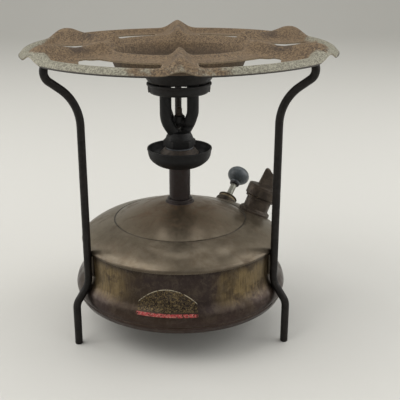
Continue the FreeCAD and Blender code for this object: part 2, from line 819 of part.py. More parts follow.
def makePlunger():
    """Rod, knob and piston: everything that the hand moves."""
    keep("pump_rod", turned("pump_rod", [
        ("0", "-pistonDepth - 1"),
        ("pistonBolt", "-pistonDepth - 1"),
        ("pistonBolt", "-pistonDepth + 8"),
        ("rodRadius", "-pistonDepth + 8"),
        ("rodRadius", "rodLift - 3"),
        ("0", "rodLift - 3"),
    ], pumpPlace))
    keep("piston_nut", ring("piston_nut", "pistonBolt", "3.6", "-pistonDepth",
                            "-pistonDepth + 2", pumpPlace))
    keep("piston_washer", ring("piston_washer", "pistonBolt", "5.2", "-pistonDepth + 2",
                               "-pistonDepth + 2.8", pumpPlace))
    keep("piston_leather", turned("piston_leather", [
        ("pistonBolt", "-pistonDepth + 2.8"),
        ("leatherRadius - 1.6", "-pistonDepth + 2.8"),
        ("leatherRadius - 1.2", "-pistonDepth + 0.4"),
        ("leatherRadius", "-pistonDepth + 0.2"),
        ("leatherRadius", "-pistonDepth + 3.8"),
        ("leatherRadius - 0.6", "-pistonDepth + 4.4"),
        ("pistonBolt", "-pistonDepth + 4.4"),
    ], pumpPlace))
    keep("piston_plate", ring("piston_plate", "pistonBolt", "6.4", "-pistonDepth + 4.4",
                              "-pistonDepth + 8", pumpPlace))
    keep("pump_ferrule", turned("pump_ferrule", [
        ("rodRadius", "rodLift - knobDepth / 2 - 1.6"),
        ("ferruleRadius - 0.3", "rodLift - knobDepth / 2 - 1.6"),
        ("ferruleRadius", "rodLift - knobDepth / 2 - 1.2"),
        ("ferruleRadius", "rodLift - knobDepth / 2 + 0.6"),
        ("rodRadius", "rodLift - knobDepth / 2 + 0.6"),
    ], pumpPlace))
    keep("pump_knob", turned("pump_knob", [
        ("0", "rodLift - 3"),
        ("rodRadius", "rodLift - 3"),
        ("rodRadius", "rodLift - knobDepth / 2 + 0.6"),
        ("ferruleRadius + 0.6", "rodLift - knobDepth / 2 + 0.6", "9.6"),
        ("knobRadius", "rodLift + 0.4", "9.5"),
        ("knobFlat", "rodLift + knobDepth / 2"),
        ("0", "rodLift + knobDepth / 2"),
    ], pumpPlace))


def legCorners():
    """The leg, from its foot up past the tank and back in under the pan."""
    return [
        ("footReach", "0"),
        ("footReach", "kneeFoot", "12"),
        ("legReach", "kneeTop", "16"),
        ("legReach", "flareHeight", "38"),
        ("hookReach + 2.2", "hookHeight", "9"),
        ("hookReach - 1.5", "armHeight", "4.2"),
        ("armTip", "armHeight"),
    ]


def makeLegs():
    for label, azimuth in (("leg_left", -60), ("leg_right", 60), ("leg_back", 180)):
        body = bentTube(label, legCorners(), "legRadius")
        body.Placement = turnedAbout(azimuth + size("legTurn"))
        keep(label, body)


def makeLegBrazing():
    """Fillets of braze that hold each leg to the side of the tank."""
    side = ring("brazing_side", "bandRadius", "bandRadius + brazeReach", "brazeFoot",
                "brazeTop")
    seams = []
    for number, azimuth in enumerate((-60, 60, 180)):
        place = turnedAbout(azimuth + size("legTurn"))
        block = doc.addObject("Part::Box", f"brazing_block_{number + 1}")
        bind(block, "Length", "6")
        bind(block, "Width", "brazeWidth")
        bind(block, "Height", "brazeTop - brazeFoot - 2")
        corner = Vector(size("bandRadius - 3"), -size("brazeWidth / 2"),
                        size("brazeFoot + 1"))
        block.Placement = place.multiply(Placement(corner, Rotation()))
        seam = doc.addObject("Part::Common", f"brazing_common_{number + 1}")
        seam.Base = side
        seam.Tool = block
        gap = rod(f"brazing_rod_{number + 1}", "legRadius", "brazeFoot - 8", "40",
                  place.multiply(Placement(Vector(size("legReach"), 0, 0), Rotation())))
        seams.append(cutBy(f"brazing_seam_{number + 1}", seam, gap))
    keep("leg_brazing", group("leg_brazing", seams))


ridgeStations = [
    # distance out, half width, top of the ridge
    ("55.5", "7", "ridgeBase + 3.4"),
    ("67.6", "10", "ridgeBase + 9.3"),
    ("88", "9", "ridgeBase + 6.4"),
    ("107.5", "11", "ridgeBase + 10"),
    ("118.6", "11", "ridgeBase + 7"),
]


def ridgeLoft(body, kind, name, inset, drop):
    """A ridge lofted through arched sections. The inset leaves the wall."""
    sketches = []
    for number, (distance, halfWidth, top) in enumerate(ridgeStations):
        sketch = newSketch(body, f"{name}_{number + 1}", "YZ_Plane", distance)
        half = f"({halfWidth} - {inset})"
        rise = f"({top} - {inset} - ridgeBase)"
        arch = f"({half} ^ 2 + {rise} ^ 2) / (2 * {rise})"
        addOutline(sketch, [
            (f"-{half}", "ridgeBase"),
            (f"-{half}", f"ridgeBase - {drop}"),
            (half, f"ridgeBase - {drop}"),
            (half, "ridgeBase", arch),
        ])
        sketches.append(sketch)
    doc.recompute()
    loft = body.newObject(f"PartDesign::{kind}", name)
    loft.Profile = (sketches[0], [""])
    loft.Sections = [(sketch, [""]) for sketch in sketches[1:]]
    return loft


def sixTimes(body, feature, name):
    pattern = body.newObject("PartDesign::PolarPattern", name)
    pattern.Originals = [feature]
    pattern.Axis = (originFeature(body, "Z_Axis"), [""])
    pattern.Angle = 360
    pattern.Occurrences = 6
    body.Tip = pattern
    doc.recompute()
    return pattern


def makePanSupport():
    """One pressing: a flanged plate, a sunk mouth, six hollow ridges."""
    body = turned("pan_support", [
        ("supportRadius", "flangeFoot", "40"),
        ("supportRadius - 1.8", "plateHeight - 2", "2.6"),
        ("supportRadius - 4.2", "plateHeight"),
        ("troughOuter", "plateHeight - 2.9"),
        ("slotInner", "plateHeight - 2.4"),
        ("64", "plateHeight - 0.9", "9"),
        ("55.6", "plateHeight - 4"),
        ("mouthRadius", "mouthFoot"),
        ("mouthRadius + supportWall", "mouthFoot"),
        ("55.6 + supportWall", "plateHeight - 4.8", "-7.8"),
        ("64", "plateHeight - 0.9 - supportWall"),
        ("slotInner", "plateHeight - 2.4 - supportWall"),
        ("troughOuter", "plateHeight - 2.9 - supportWall"),
        ("supportRadius - 4.2", "plateHeight - supportWall", "-1.4"),
        ("supportRadius - 1.8 - supportWall", "plateHeight - 2.3", "-39"),
        ("supportRadius - supportWall", "flangeFoot"),
    ])
    doc.recompute()
    slot = newSketch(body, "pan_support_slot", "XY_Plane")
    corners = []
    for radius, turn, bend in (("slotInner", -1, None), ("slotOuter", -1, "slotOuter"),
                               ("slotOuter", 1, None), ("slotInner", 1, "-slotInner")):
        angle = f"(30 + {turn} * slotHalfAngle)"
        corner = (f"{radius} * cos({angle})", f"{radius} * sin({angle})")
        corners.append(corner if bend is None else (*corner, bend))
    addOutline(slot, corners)
    pocket = body.newObject("PartDesign::Pocket", "pan_support_slots")
    pocket.Profile = (slot, [""])
    pocket.Type = 1
    pocket.Midplane = True
    sixTimes(body, pocket, "pan_support_slot_ring")
    ridge = ridgeLoft(body, "AdditiveLoft", "pan_support_ridge", "0", "0.6")
    sixTimes(body, ridge, "pan_support_ridge_ring")
    hollow = ridgeLoft(body, "SubtractiveLoft", "pan_support_hollow", "supportWall", "6")
    sixTimes(body, hollow, "pan_support_hollow_ring")
    body.Placement = turnedAbout(size("ridgeTurn"))
    keep("pan_support", body)


makeTank()
domeSolid = makeDome()
makeRiser(domeSolid)
makeCup()
makeBurnerNut()
makeBurnerTubes()
makeJet()
makeWindRing()
makeHead()
makeBell()
makeSpreader()
makeFiller(domeSolid)
makePump(domeSolid)
makeLegs()
makeLegBrazing()
makePanSupport()
doc.recompute()

faults = [item.Label for item in doc.Objects
          if "Invalid" in item.State or "Error" in item.State]
for label, piece in pieces.items():
    shape = piece.Shape
    if shape.isNull() or not shape.isValid() or not shape.Solids:
        faults.append(label)
if faults:
    raise SystemExit("failed: " + ", ".join(faults))
for label, piece in pieces.items():
    piece.Shape.exportStep(f"parts/{label}.step")
    print(f"{label}: {len(piece.Shape.Solids)} solids, {piece.Shape.Volume:.0f} mm3")
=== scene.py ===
import math

import bmesh
import bpy
import numpy as np
from mathutils import Matrix, Vector


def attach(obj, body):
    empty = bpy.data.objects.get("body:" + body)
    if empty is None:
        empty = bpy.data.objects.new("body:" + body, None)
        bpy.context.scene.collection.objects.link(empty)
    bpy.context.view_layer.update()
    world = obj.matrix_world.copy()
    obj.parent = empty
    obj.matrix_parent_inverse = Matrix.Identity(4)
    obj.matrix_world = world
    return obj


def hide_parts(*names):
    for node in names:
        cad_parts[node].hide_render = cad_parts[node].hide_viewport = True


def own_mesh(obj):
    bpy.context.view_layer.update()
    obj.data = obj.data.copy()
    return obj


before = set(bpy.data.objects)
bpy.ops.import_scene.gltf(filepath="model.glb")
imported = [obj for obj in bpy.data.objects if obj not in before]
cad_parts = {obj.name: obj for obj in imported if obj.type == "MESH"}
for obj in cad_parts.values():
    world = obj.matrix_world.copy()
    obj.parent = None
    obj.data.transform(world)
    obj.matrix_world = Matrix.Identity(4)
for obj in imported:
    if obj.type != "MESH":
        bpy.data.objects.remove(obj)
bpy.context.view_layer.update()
print("stage: frame loaded,", len(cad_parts), "nodes")

mm = 0.001


# Corners of a profile, each (x, y) or (x, y, fillet). A fillet is the true arc
# of that radius tangent to both runs: centre + slerp of the two tangent points.
def rounded(corners, closed=True, steps=7):
    count = len(corners)
    points = [np.array(c[:2], float) for c in corners]
    line = []
    for i, corner in enumerate(corners):
        here = points[i]
        fillet = corner[2] if len(corner) > 2 else 0
        if not fillet or (not closed and i in (0, count - 1)):
            line.append(here[None])
            continue
        back = points[i - 1] - here
        ahead = points[(i + 1) % count] - here
        back = back / np.linalg.norm(back)
        ahead = ahead / np.linalg.norm(ahead)
        inside = math.acos(np.clip(back @ ahead, -1, 1))
        turn = math.pi - inside
        cut = fillet * math.tan(turn / 2)
        middle = (back + ahead) / np.linalg.norm(back + ahead)
        centre = here + middle * fillet / math.cos(turn / 2)
        t = np.linspace(0, 1, max(3, int(steps * turn) + 3))[:, None]
        a, b = here + back * cut - centre, here + ahead * cut - centre
        line.append(centre + (np.sin((1 - t) * turn) * a + np.sin(t * turn) * b) / math.sin(turn))
    return np.concatenate(line)


# The same line with extra points at even distances along it, none moved.
def densified(line, spacing, closed=True):
    loop = np.concatenate([line, line[:1]]) if closed else line
    along = np.concatenate([[0], np.cumsum(np.linalg.norm(np.diff(loop, axis=0), axis=1))])
    extra = np.arange(spacing, along[-1], spacing)
    gap = np.abs(extra[:, None] - along[None]).min(1)
    stops = np.sort(np.concatenate([along, extra[gap > spacing * 0.2]]))
    stops = stops[:-1] if closed else stops
    return np.stack([np.interp(stops, along, loop[:, k]) for k in range(loop.shape[1])], 1)


# Quads between neighbours on a grid of points, row by row.
def gridFaces(rows, columns, wrapRows, wrapColumns):
    r = np.arange(rows if wrapRows else rows - 1)
    c = np.arange(columns if wrapColumns else columns - 1)
    r, c = np.meshgrid(r, c, indexing="ij")
    r2, c2 = (r + 1) % rows, (c + 1) % columns
    quads = np.stack([r * columns + c, r2 * columns + c, r2 * columns + c2, r * columns + c2], -1)
    return quads.reshape(-1, 4)


# Turned piece: profile (r, z) carried round the axis, x = r sin a, y = -r cos a,
# with a ripple(points) in metres added along the radius.
def turned(outline, segments=96, place=None, spacing=None, steps=7, ripple=None):
    line = rounded(outline, True, steps)
    if spacing:
        line = densified(line, spacing)
    line = line * mm
    angle = np.arange(segments) / segments * 2 * math.pi
    r, a = line[:, :1], angle[None]
    points = np.stack([r * np.sin(a), -r * np.cos(a), line[:, 1:] + 0 * a], -1)
    if ripple is not None:
        points = ripple(points)
    faces = gridFaces(len(line), segments, True, True)
    return placed(points.reshape(-1, 3), place), faces


def placed(points, place):
    if place is None:
        return points
    matrix = np.array(place)
    return points @ matrix[:3, :3].T + matrix[:3, 3]


# Rod: circles of radius(t) square to a path that lies in one plane, whose
# square direction is side; the ends are domed over the last endRound.
def rod(path, radius, side=(0, 1, 0), segments=28, endRound=0.7, place=None):
    path = np.asarray(path, float) * mm
    run = np.gradient(path, axis=0)
    run /= np.linalg.norm(run, axis=1, keepdims=True)
    along = np.concatenate([[0], np.cumsum(np.linalg.norm(np.diff(path, axis=0), axis=1))])
    cap = endRound * mm
    lead = np.array([0, 0.03, 0.13, 0.3, 0.6, 1.0]) * cap
    stops = np.unique(np.concatenate([lead, along[(along > cap * 1.3) & (along < along[-1] - cap * 1.3)],
                                      along[-1] - lead]))
    centre = np.stack([np.interp(stops, along, path[:, k]) for k in range(3)], 1)
    ahead = np.stack([np.interp(stops, along, run[:, k]) for k in range(3)], 1)
    ahead /= np.linalg.norm(ahead, axis=1, keepdims=True)
    edge = np.minimum(stops, along[-1] - stops) / cap
    girth = np.interp(stops, along, np.broadcast_to(radius, along.shape)) * mm
    girth = girth - cap * (1 - np.sqrt(1 - (1 - np.clip(edge, 0, 1)) ** 2))
    girth[[0, -1]] = np.maximum(girth[[0, -1]], 0)
    side = np.broadcast_to(np.asarray(side, float), centre.shape)
    other = np.cross(ahead, side)
    other /= np.linalg.norm(other, axis=1, keepdims=True)
    a = np.arange(segments) / segments * 2 * math.pi
    ring = (other[:, None] * np.cos(a)[None, :, None] + side[:, None] * np.sin(a)[None, :, None])
    points = centre[:, None] + ring * girth[:, None, None]
    first = np.repeat(centre[:1], segments, 0)[None]
    last = np.repeat(centre[-1:], segments, 0)[None]
    points = np.concatenate([first, points, last])
    faces = gridFaces(len(points), segments, False, True)
    return placed(points.reshape(-1, 3), place), faces


# The first and last rings of a grid closed, each on its own middle.
def closedEnds(points):
    middles = [points[k][None].mean(1, keepdims=True) + 0 * points[:1] for k in (0, -1)]
    return np.concatenate([middles[0], points, middles[1]])


# Prism with any outline: at each height the section r = section(angle, height).
def stacked(section, heights, angles, place=None):
    h, a = np.meshgrid(heights, angles, indexing="ij")
    x, y = section(a, h)
    points = np.stack([x, y, h], -1) * mm
    points = closedEnds(points)
    faces = gridFaces(len(points), len(angles), False, True)
    return placed(points.reshape(-1, 3), place), faces


# Wound spring: circles of the wire's radius, square to the helix
# (r cos t, r sin t, z rising evenly), each end closed on the wire's middle.
def coil(radius, wire, foot, top, turns, place):
    t = np.linspace(0, 2 * math.pi * turns, 32 * turns + 1)[:, None]
    p = np.arange(12)[None] / 12 * 2 * math.pi
    slope = (top - foot) / (2 * math.pi * turns * radius)
    out = radius + wire * np.cos(p)
    up = wire * np.sin(p) / math.hypot(1, slope)
    x = out * np.cos(t) + up * slope * np.sin(t)
    y = out * np.sin(t) - up * slope * np.cos(t)
    z = foot + (top - foot) * t / t[-1] + up
    points = closedEnds(np.stack([x, y, z], -1) * mm)
    return placed(points.reshape(-1, 3), place), gridFaces(len(points), 12, False, True)


# Several surfaces become one mesh; each closed one is turned so that its
# volume, the sum of a . (b x c) over its triangles, is positive.
def makePiece(name, surfaces, finish, body, stands=(), sharp=32):
    allPoints, allFaces, start = [], [], 0
    for points, faces in surfaces:
        a, b, c, d = (points[faces[:, k]] for k in range(4))
        volume = np.einsum("ij,ij->i", a, np.cross(b,
                                                   c)).sum() + np.einsum("ij,ij->i", a,
                                                                         np.cross(c, d)).sum()
        allFaces.append((faces if volume > 0 else faces[:, ::-1]) + start)
        allPoints.append(points)
        start += len(points)
    points, faces = np.concatenate(allPoints), np.concatenate(allFaces)
    mesh = bpy.data.meshes.new(name)
    mesh.vertices.add(len(points))
    mesh.vertices.foreach_set("co", points.astype(np.float32).ravel())
    mesh.loops.add(faces.size)
    mesh.loops.foreach_set("vertex_index", faces.astype(np.int32).ravel())
    mesh.polygons.add(len(faces))
    mesh.polygons.foreach_set("loop_start", np.arange(0, faces.size, 4, dtype=np.int32))
    mesh.update(calc_edges=True)
    work = bmesh.new()
    work.from_mesh(mesh)
    bmesh.ops.remove_doubles(work, verts=work.verts, dist=2e-6)
    bmesh.ops.dissolve_degenerate(work, edges=work.edges, dist=1e-7)
    work.to_mesh(mesh)
    work.free()
    mesh.shade_smooth()
    mesh.set_sharp_from_angle(angle=math.radians(sharp))
    mesh.materials.append(finish)
    piece = bpy.data.objects.new(name, mesh)
    bpy.context.scene.collection.objects.link(piece)
    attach(piece, body)
    if stands:
        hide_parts(*stands)
    return piece


def turnAbout(azimuth):
    return Matrix.Rotation(math.radians(azimuth - 90), 4, "Z")


# Frame of a fitting that leans outwards: its Z is the fitting's own axis.
def leaning(azimuth, offset, height, tilt):
    base = Matrix.Translation((offset * mm, 0, height * mm)) @ Matrix.Rotation(math.radians(tilt), 4, "Y")
    return turnAbout(azimuth) @ base


# Slow unevenness of beaten sheet: a few sine waves of the azimuth and height.
def sheetRipple(depth, seed, hold=None):
    draw = np.random.default_rng(seed)
    waves = [(draw.integers(2, 9), draw.uniform(30, 120), draw.uniform(0, 6.28),
              draw.uniform(0.4, 1)) for _ in range(7)]

    def ripple(points):
        azimuth = np.arctan2(points[..., 0], -points[..., 1])
        height = points[..., 2]
        radius = np.hypot(points[..., 0], points[..., 1])
        total = sum(w * np.sin(n * azimuth + k * (height + radius) + p) for n, k, p,
                    w in waves) / len(waves)
        if hold is not None:
            total = total * hold(radius, height)
        push = 1 + depth * mm * total / np.maximum(radius, 0.01)
        return points * np.stack([push, push, 1 + 0 * push], -1)
    return ripple


def srgb(red, green, blue):
    linear = [((v / 255 + 0.055) / 1.055) ** 2.4 if v > 10 else v / 255 / 12.92 for v in (red, green, blue)]
    return (*linear, 1)


# One node, its inputs given by name or number: a socket is linked, a value set.
def node(tree, kind, feeds=None, **settings):
    made = tree.nodes.new("ShaderNode" + kind)
    for key, value in settings.items():
        setattr(made, key, value)
    for key, value in (feeds or {}).items():
        socket = made.inputs[key]
        if isinstance(value, bpy.types.NodeSocket):
            tree.links.new(value, socket)
        else:
            socket.default_value = value
    return made


def maths(tree, operation, a, b=0.0, clamp=False):
    return node(tree, "Math", {0: a, 1: b}, operation=operation, use_clamp=clamp).outputs[0]


def product(tree, a, b):
    return maths(tree, "MULTIPLY", a, b)


def total(tree, a, b, clamp=False):
    return maths(tree, "ADD", a, b, clamp)


def less(tree, a, b, clamp=False):
    return maths(tree, "SUBTRACT", a, b, clamp)


def blended(tree, share, a, b, mode="MIX"):
    return node(tree, "Mix", {0: share, 6: a, 7: b}, data_type="RGBA", blend_type=mode).outputs[2]


def smoothed(tree, value, low, high, fromLow=0.0, fromHigh=1.0):
    feeds = {0: value, 1: low, 2: high, 3: fromLow, 4: fromHigh}
    return node(tree, "MapRange", feeds, interpolation_type="SMOOTHSTEP").outputs[0]


def noise(tree, vector, scale, detail=4.0, roughness=0.55, distortion=0.0):
    feeds = {"Vector": vector, "Scale": scale, "Detail": detail, "Roughness": roughness,
             "Distortion": distortion}
    return node(tree, "TexNoise", feeds).outputs["Fac"]


def newGroup(name, inputs, outputs):
    tree = bpy.data.node_groups.new(name, "ShaderNodeTree")
    for label, kind, value in inputs:
        socket = tree.interface.new_socket(name=label, in_out="INPUT", socket_type="NodeSocket" + kind)
        if value is not None:
            socket.default_value = value
    for label, kind in outputs:
        tree.interface.new_socket(name=label, in_out="OUTPUT", socket_type="NodeSocket" + kind)
    source = tree.nodes.new("NodeGroupInput")
    sink = tree.nodes.new("NodeGroupOutput")
    return tree, source.outputs, sink.inputs


def useGroup(tree, group, feeds):
    made = tree.nodes.new("ShaderNodeGroup")
    made.node_tree = group
    for key, value in feeds.items():
        if isinstance(value, bpy.types.NodeSocket):
            tree.links.new(value, made.inputs[key])
        else:
            made.inputs[key].default_value = value
    return made.outputs


# Clouded patches: two noises of different size, multiplied and sharpened.
def makeCloudGroup():
    tree, given, out = newGroup("clouds", [("Vector", "Vector", None), ("Scale", "Float", 30.0),
                                           ("Low", "Float", 0.4), ("High", "Float", 0.6)],
                                [("Mask", "Float")])
    large = noise(tree, given["Vector"], given["Scale"], 7.0, 0.62, 0.6)
    finer = noise(tree, given["Vector"], product(tree, given["Scale"], 3.7), 5.0, 0.6)
    both = total(tree, product(tree, large, 0.7), product(tree, finer, 0.3))
    mask = node(tree, "MapRange", {0: both, 1: given["Low"], 2: given["High"]},
                interpolation_type="SMOOTHSTEP").outputs[0]
    tree.links.new(mask, out["Mask"])
    return tree


# Wear on outer edges: how far the surface curves outward, broken up by noise. The second output is painted
# shade: darker where the surface curves inward.
def makeEdgeGroup():
    tree, given, out = newGroup("edgeWearAndShade", [("Vector", "Vector", None), ("Start", "Float", 0.52),
                                             ("Full", "Float", 0.6), ("Break", "Float", 300.0)],
                                [("Mask", "Float"), ("CreviceShade", "Float")])
    bend = node(tree, "NewGeometry").outputs["Pointiness"]
    grain = noise(tree, given["Vector"], given["Break"], 4.0, 0.6)
    shifted = total(tree, bend, product(tree, less(tree, grain, 0.5), 0.06))
    mask = node(tree, "MapRange", {0: shifted, 1: given["Start"], 2: given["Full"]},
                interpolation_type="SMOOTHSTEP").outputs[0]
    # Painted shade: darker where the surface curves inward.
    creviceShade = smoothed(tree, shifted, 0.49, 0.42)
    tree.links.new(mask, out["Mask"])
    tree.links.new(creviceShade, out["CreviceShade"])
    return tree


# Fine surface relief: pits and grain of two sizes.
def makeGrainGroup():
    tree, given, out = newGroup("grain", [("Vector", "Vector", None), ("Scale", "Float", 400.0),
                                          ("Pits", "Float", 0.5)],
                                [("Height", "Float"), ("Speck", "Float")])
    fine = noise(tree, given["Vector"], given["Scale"], 5.0, 0.65)
    coarse = noise(tree, given["Vector"], product(tree, given["Scale"], 0.22), 3.0, 0.5)
    cells = node(tree, "TexVoronoi", {"Vector": given["Vector"],
                                      "Scale": product(tree, given["Scale"], 0.6)}).outputs["Distance"]
    pit = smoothed(tree, cells, 0.32, 0.1)
    height = total(tree, product(tree, fine, 0.5), product(tree, coarse, 0.8))
    height = less(tree, height, product(tree, pit, given["Pits"]))
    tree.links.new(height, out["Height"])
    tree.links.new(fine, out["Speck"])
    return tree


# Marks of spinning: noise that changes across the turning but hardly round it.
def makeSpinGroup():
    tree, given, out = newGroup("spinMarks", [("Vector", "Vector", None), ("Scale", "Float", 900.0)],
                                [("Height", "Float")])
    parts = node(tree, "SeparateXYZ", {0: given["Vector"]}).outputs
    square = total(tree, product(tree, parts[0], parts[0]), product(tree, parts[1], parts[1]))
    radius = maths(tree, "SQRT", square)
    azimuth = maths(tree, "ARCTAN2", parts[0], parts[1])
    vector = node(tree, "CombineXYZ", {0: radius, 1: parts[2], 2: product(tree, azimuth, 0.004)}).outputs[0]
    tree.links.new(noise(tree, vector, given["Scale"], 3.0, 0.5), out["Height"])
    return tree


clouds, edgeWearAndShade, grain, spinMarks = makeCloudGroup(), makeEdgeGroup(), makeGrainGroup(), makeSpinGroup()


# A new material with its shader and Object coordinates.
def newMaterial(name):
    material = bpy.data.materials.new(name)
    material.use_nodes = True
    tree = material.node_tree
    tree.nodes.clear()
    shader = tree.nodes.new("ShaderNodeBsdfPrincipled")
    output = tree.nodes.new("ShaderNodeOutputMaterial")
    tree.links.new(shader.outputs[0], output.inputs[0])
    coords = tree.nodes.new("ShaderNodeTexCoord").outputs["Object"]
    return material, tree, shader, coords


def feed(tree, shader, label, value):
    if isinstance(value, bpy.types.NodeSocket):
        tree.links.new(value, shader.inputs[label])
    else:
        shader.inputs[label].default_value = value


def addBump(tree, shader, height, distance, strength=1.0):
    bump = node(tree, "Bump", {"Height": height, "Distance": distance * mm, "Strength": strength})
    tree.links.new(bump.outputs[0], shader.inputs["Normal"])


# Radius from the tank's axis, azimuth from the front in degrees, and height.
def around(tree, coords):
    parts = node(tree, "SeparateXYZ", {0: coords}).outputs
    square = total(tree, product(tree, parts[0], parts[0]), product(tree, parts[1], parts[1]))
    azimuth = maths(tree, "ARCTAN2", parts[0], product(tree, parts[1], -1.0))
    return maths(tree, "SQRT", square), product(tree, azimuth, 180 / math.pi), parts[2]


# A soft window: 1 between low and high, falling to 0 over the soft margin.
def window(tree, value, low, high, soft):
    up = smoothed(tree, value, low - soft, low + soft)
    down = smoothed(tree, value, high + soft, high - soft)
    return product(tree, up, down)


tankFinish = {"olive": srgb(112, 102, 87), "brown": srgb(58, 48, 38), "plum": srgb(52, 43, 41),
              "gold": srgb(126, 108, 74), "darkAndShade": srgb(34, 28, 24), "stain": srgb(96, 70, 46),
              "roughLow": 0.3, "roughHigh": 0.52, "metallic": 0.85}


# Tarnished brass sheet. The zone says which pressing: dome, side or bottom.
def tankMaterial(name, zone):
    material, tree, shader, coords = newMaterial(name)
    radius, azimuth, height = around(tree, coords)
    f = tankFinish
    broad = useGroup(tree, clouds, {"Vector": coords, "Scale": 22.0, "Low": 0.4, "High": 0.62})["Mask"]
    blotch = useGroup(tree, clouds, {"Vector": coords, "Scale": 55.0, "Low": 0.46, "High": 0.66})["Mask"]
    small = useGroup(tree, clouds, {"Vector": coords, "Scale": 190.0, "Low": 0.42, "High": 0.64})["Mask"]
    speck = useGroup(tree, grain, {"Vector": coords, "Scale": 1500.0, "Pits": 0.2})
    spin = useGroup(tree, spinMarks, {"Vector": coords, "Scale": 1400.0})["Height"]
    if zone == "dome":
        colour = blended(tree, broad, f["olive"], srgb(124, 114, 98))
        colour = blended(tree, product(tree, blotch, 0.55), colour, srgb(92, 78, 62))
        warm = product(tree, smoothed(tree, radius, 0.062, 0.02),
                       total(tree, 0.25, product(tree, small, 0.5)))
        colour = blended(tree, warm, colour, f["stain"])
        # Painted shade: a dark line along the dome's crease groove.
        crease = window(tree, radius, 0.0549, 0.0562, 0.0004)
        colour = blended(tree, product(tree, crease, 0.75), colour, f["darkAndShade"])
        lap = smoothed(tree, height, 0.0825, 0.079)
        colour = blended(tree, product(tree, lap, 0.55), colour, f["brown"])
    else:
        colour = blended(tree, broad, f["brown"], f["plum"])
        colour = blended(tree, product(tree, small, 0.3), colour, srgb(82, 68, 50))
        # Golden patches: worn brass through the tarnish, and in the two side windows also painted
        # reflection.
        sideSheen = total(tree, window(tree, azimuth, -58.0, -32.0, 9.0),
                      window(tree, azimuth, 22.0, 56.0, 8.0), True)
        rear = product(tree, smoothed(tree, maths(tree, "ABSOLUTE", azimuth), 80.0, 120.0), 0.5)
        level = window(tree, height, 0.05, 0.0745, 0.006)
        goldWearAndSheen = product(tree, total(tree, sideSheen, rear), level)
        goldWearAndSheen = product(tree, goldWearAndSheen, smoothed(tree, blotch, 0.9, 0.1, 0.35, 1.0))
        downward = node(tree, "CombineXYZ", {0: product(tree, azimuth, 0.9),
                                             1: product(tree, height, 60.0)})
        streaks = smoothed(tree, noise(tree, downward.outputs[0], 1.0, 4.0, 0.6), 0.3, 0.62, 0.35, 1.0)
        goldWearAndSheen = product(tree, goldWearAndSheen, streaks)
        colour = blended(tree, product(tree, goldWearAndSheen, 0.8), colour, f["gold"])
        spots = useGroup(tree, clouds, {"Vector": coords, "Scale": 75.0, "Low": 0.6, "High": 0.66})["Mask"]
        colour = blended(tree, product(tree, spots, 0.7), colour, f["darkAndShade"])
        foot = smoothed(tree, height, 0.05, 0.034)
        colour = blended(tree, product(tree, foot, 0.6), colour, srgb(58, 44, 40))
        # Painted shadow under the dome's lapped edge, along the top of the band.
        underLapShadow = smoothed(tree, height, 0.071, 0.078)
        colour = blended(tree, product(tree, underLapShadow, 0.5), colour, f["darkAndShade"])
    wearAndShade = useGroup(tree, edgeWearAndShade, {"Vector": coords, "Start": 0.53, "Full": 0.6, "Break": 500.0})
    colour = blended(tree, product(tree, wearAndShade["Mask"], 0.6), colour, srgb(150, 128, 84))
    # Painted shade in the hollows, from the edge group's second output.
    colour = blended(tree, product(tree, wearAndShade["CreviceShade"], 0.8), colour, f["darkAndShade"])
    tone = total(tree, 1.0, product(tree, less(tree, speck["Speck"], 0.5), 0.5))
    grey = node(tree, "CombineColor", {0: tone, 1: tone, 2: tone}).outputs[0]
    colour = blended(tree, 1.0, colour, grey, "MULTIPLY")
    rough = total(tree, f["roughLow"], product(tree, blotch, f["roughHigh"] - f["roughLow"]))
    metal = less(tree, f["metallic"], product(tree, small, 0.3))
    if zone == "side":
        colour, rough, metal = addBadge(tree, coords, azimuth, height, colour, rough, metal)
    feed(tree, shader, "Base Color", colour)
    feed(tree, shader, "Roughness", rough)
    feed(tree, shader, "Metallic", metal)
    relief = total(tree, product(tree, speck["Height"], 0.35), product(tree, spin, 0.2))
    relief = total(tree, relief, product(tree, broad, 0.5))
    addBump(tree, shader, relief, 0.07, 0.7)
    return material


badge = {"left": -22.8, "right": 8.6, "barLow": 0.0434, "barHigh": 0.0458, "sill": 0.0464,
         "eaves": 0.0525, "rise": 0.0115, "red": srgb(150, 34, 40), "gold": srgb(140, 120, 82),
         "cream": srgb(190, 180, 156)}


# A worn painted panel with no lettering: a red bar under a speckled field.
def addBadge(tree, coords, azimuth, height, colour, rough, metal):
    b = badge
    fleck = useGroup(tree, clouds, {"Vector": coords, "Scale": 900.0, "Low": 0.5, "High": 0.56})["Mask"]
    loss = useGroup(tree, clouds, {"Vector": coords, "Scale": 420.0, "Low": 0.42, "High": 0.5})["Mask"]
    bar = product(tree, window(tree, azimuth, b["left"], b["right"], 0.5),
                  window(tree, height, b["barLow"], b["barHigh"], 0.00025))
    bar = product(tree, bar, loss)
    share = maths(tree, "DIVIDE", less(tree, azimuth, (b["left"] + b["right"]) / 2),
                  (b["right"] - b["left"]) / 2)
    arch = less(tree, 1.0, product(tree, share, share))
    crown = total(tree, b["eaves"], product(tree, arch, b["rise"]))
    inside = product(tree, smoothed(tree, less(tree, height, crown), 0.0002, -0.0002),
                   smoothed(tree, height, b["sill"], b["sill"] + 0.0005))
    inside = product(tree, inside, window(tree, azimuth, b["left"], b["right"], 0.5))
    rim = window(tree, less(tree, height, crown), -0.0004, 0.0002, 0.0002)
    rim = product(tree, product(tree, rim, window(tree, azimuth, b["left"], b["right"], 0.5)), loss)
    colour = blended(tree, product(tree, inside, 0.45), colour, srgb(30, 26, 20))
    colour = blended(tree, product(tree, product(tree, inside, fleck), 0.55), colour, b["gold"])
    colour = blended(tree, product(tree, rim, 0.8), colour, b["cream"])
    colour = blended(tree, bar, colour, blended(tree, product(tree, fleck, 0.35), b["red"], b["cream"]))
    paint = maths(tree, "MAXIMUM", bar, product(tree, rim, 0.8))
    rough = total(tree, product(tree, rough, less(tree, 1.0, paint)), product(tree, paint, 0.45))
    metal = product(tree, metal, less(tree, 1.0, paint))
    return colour, rough, metal
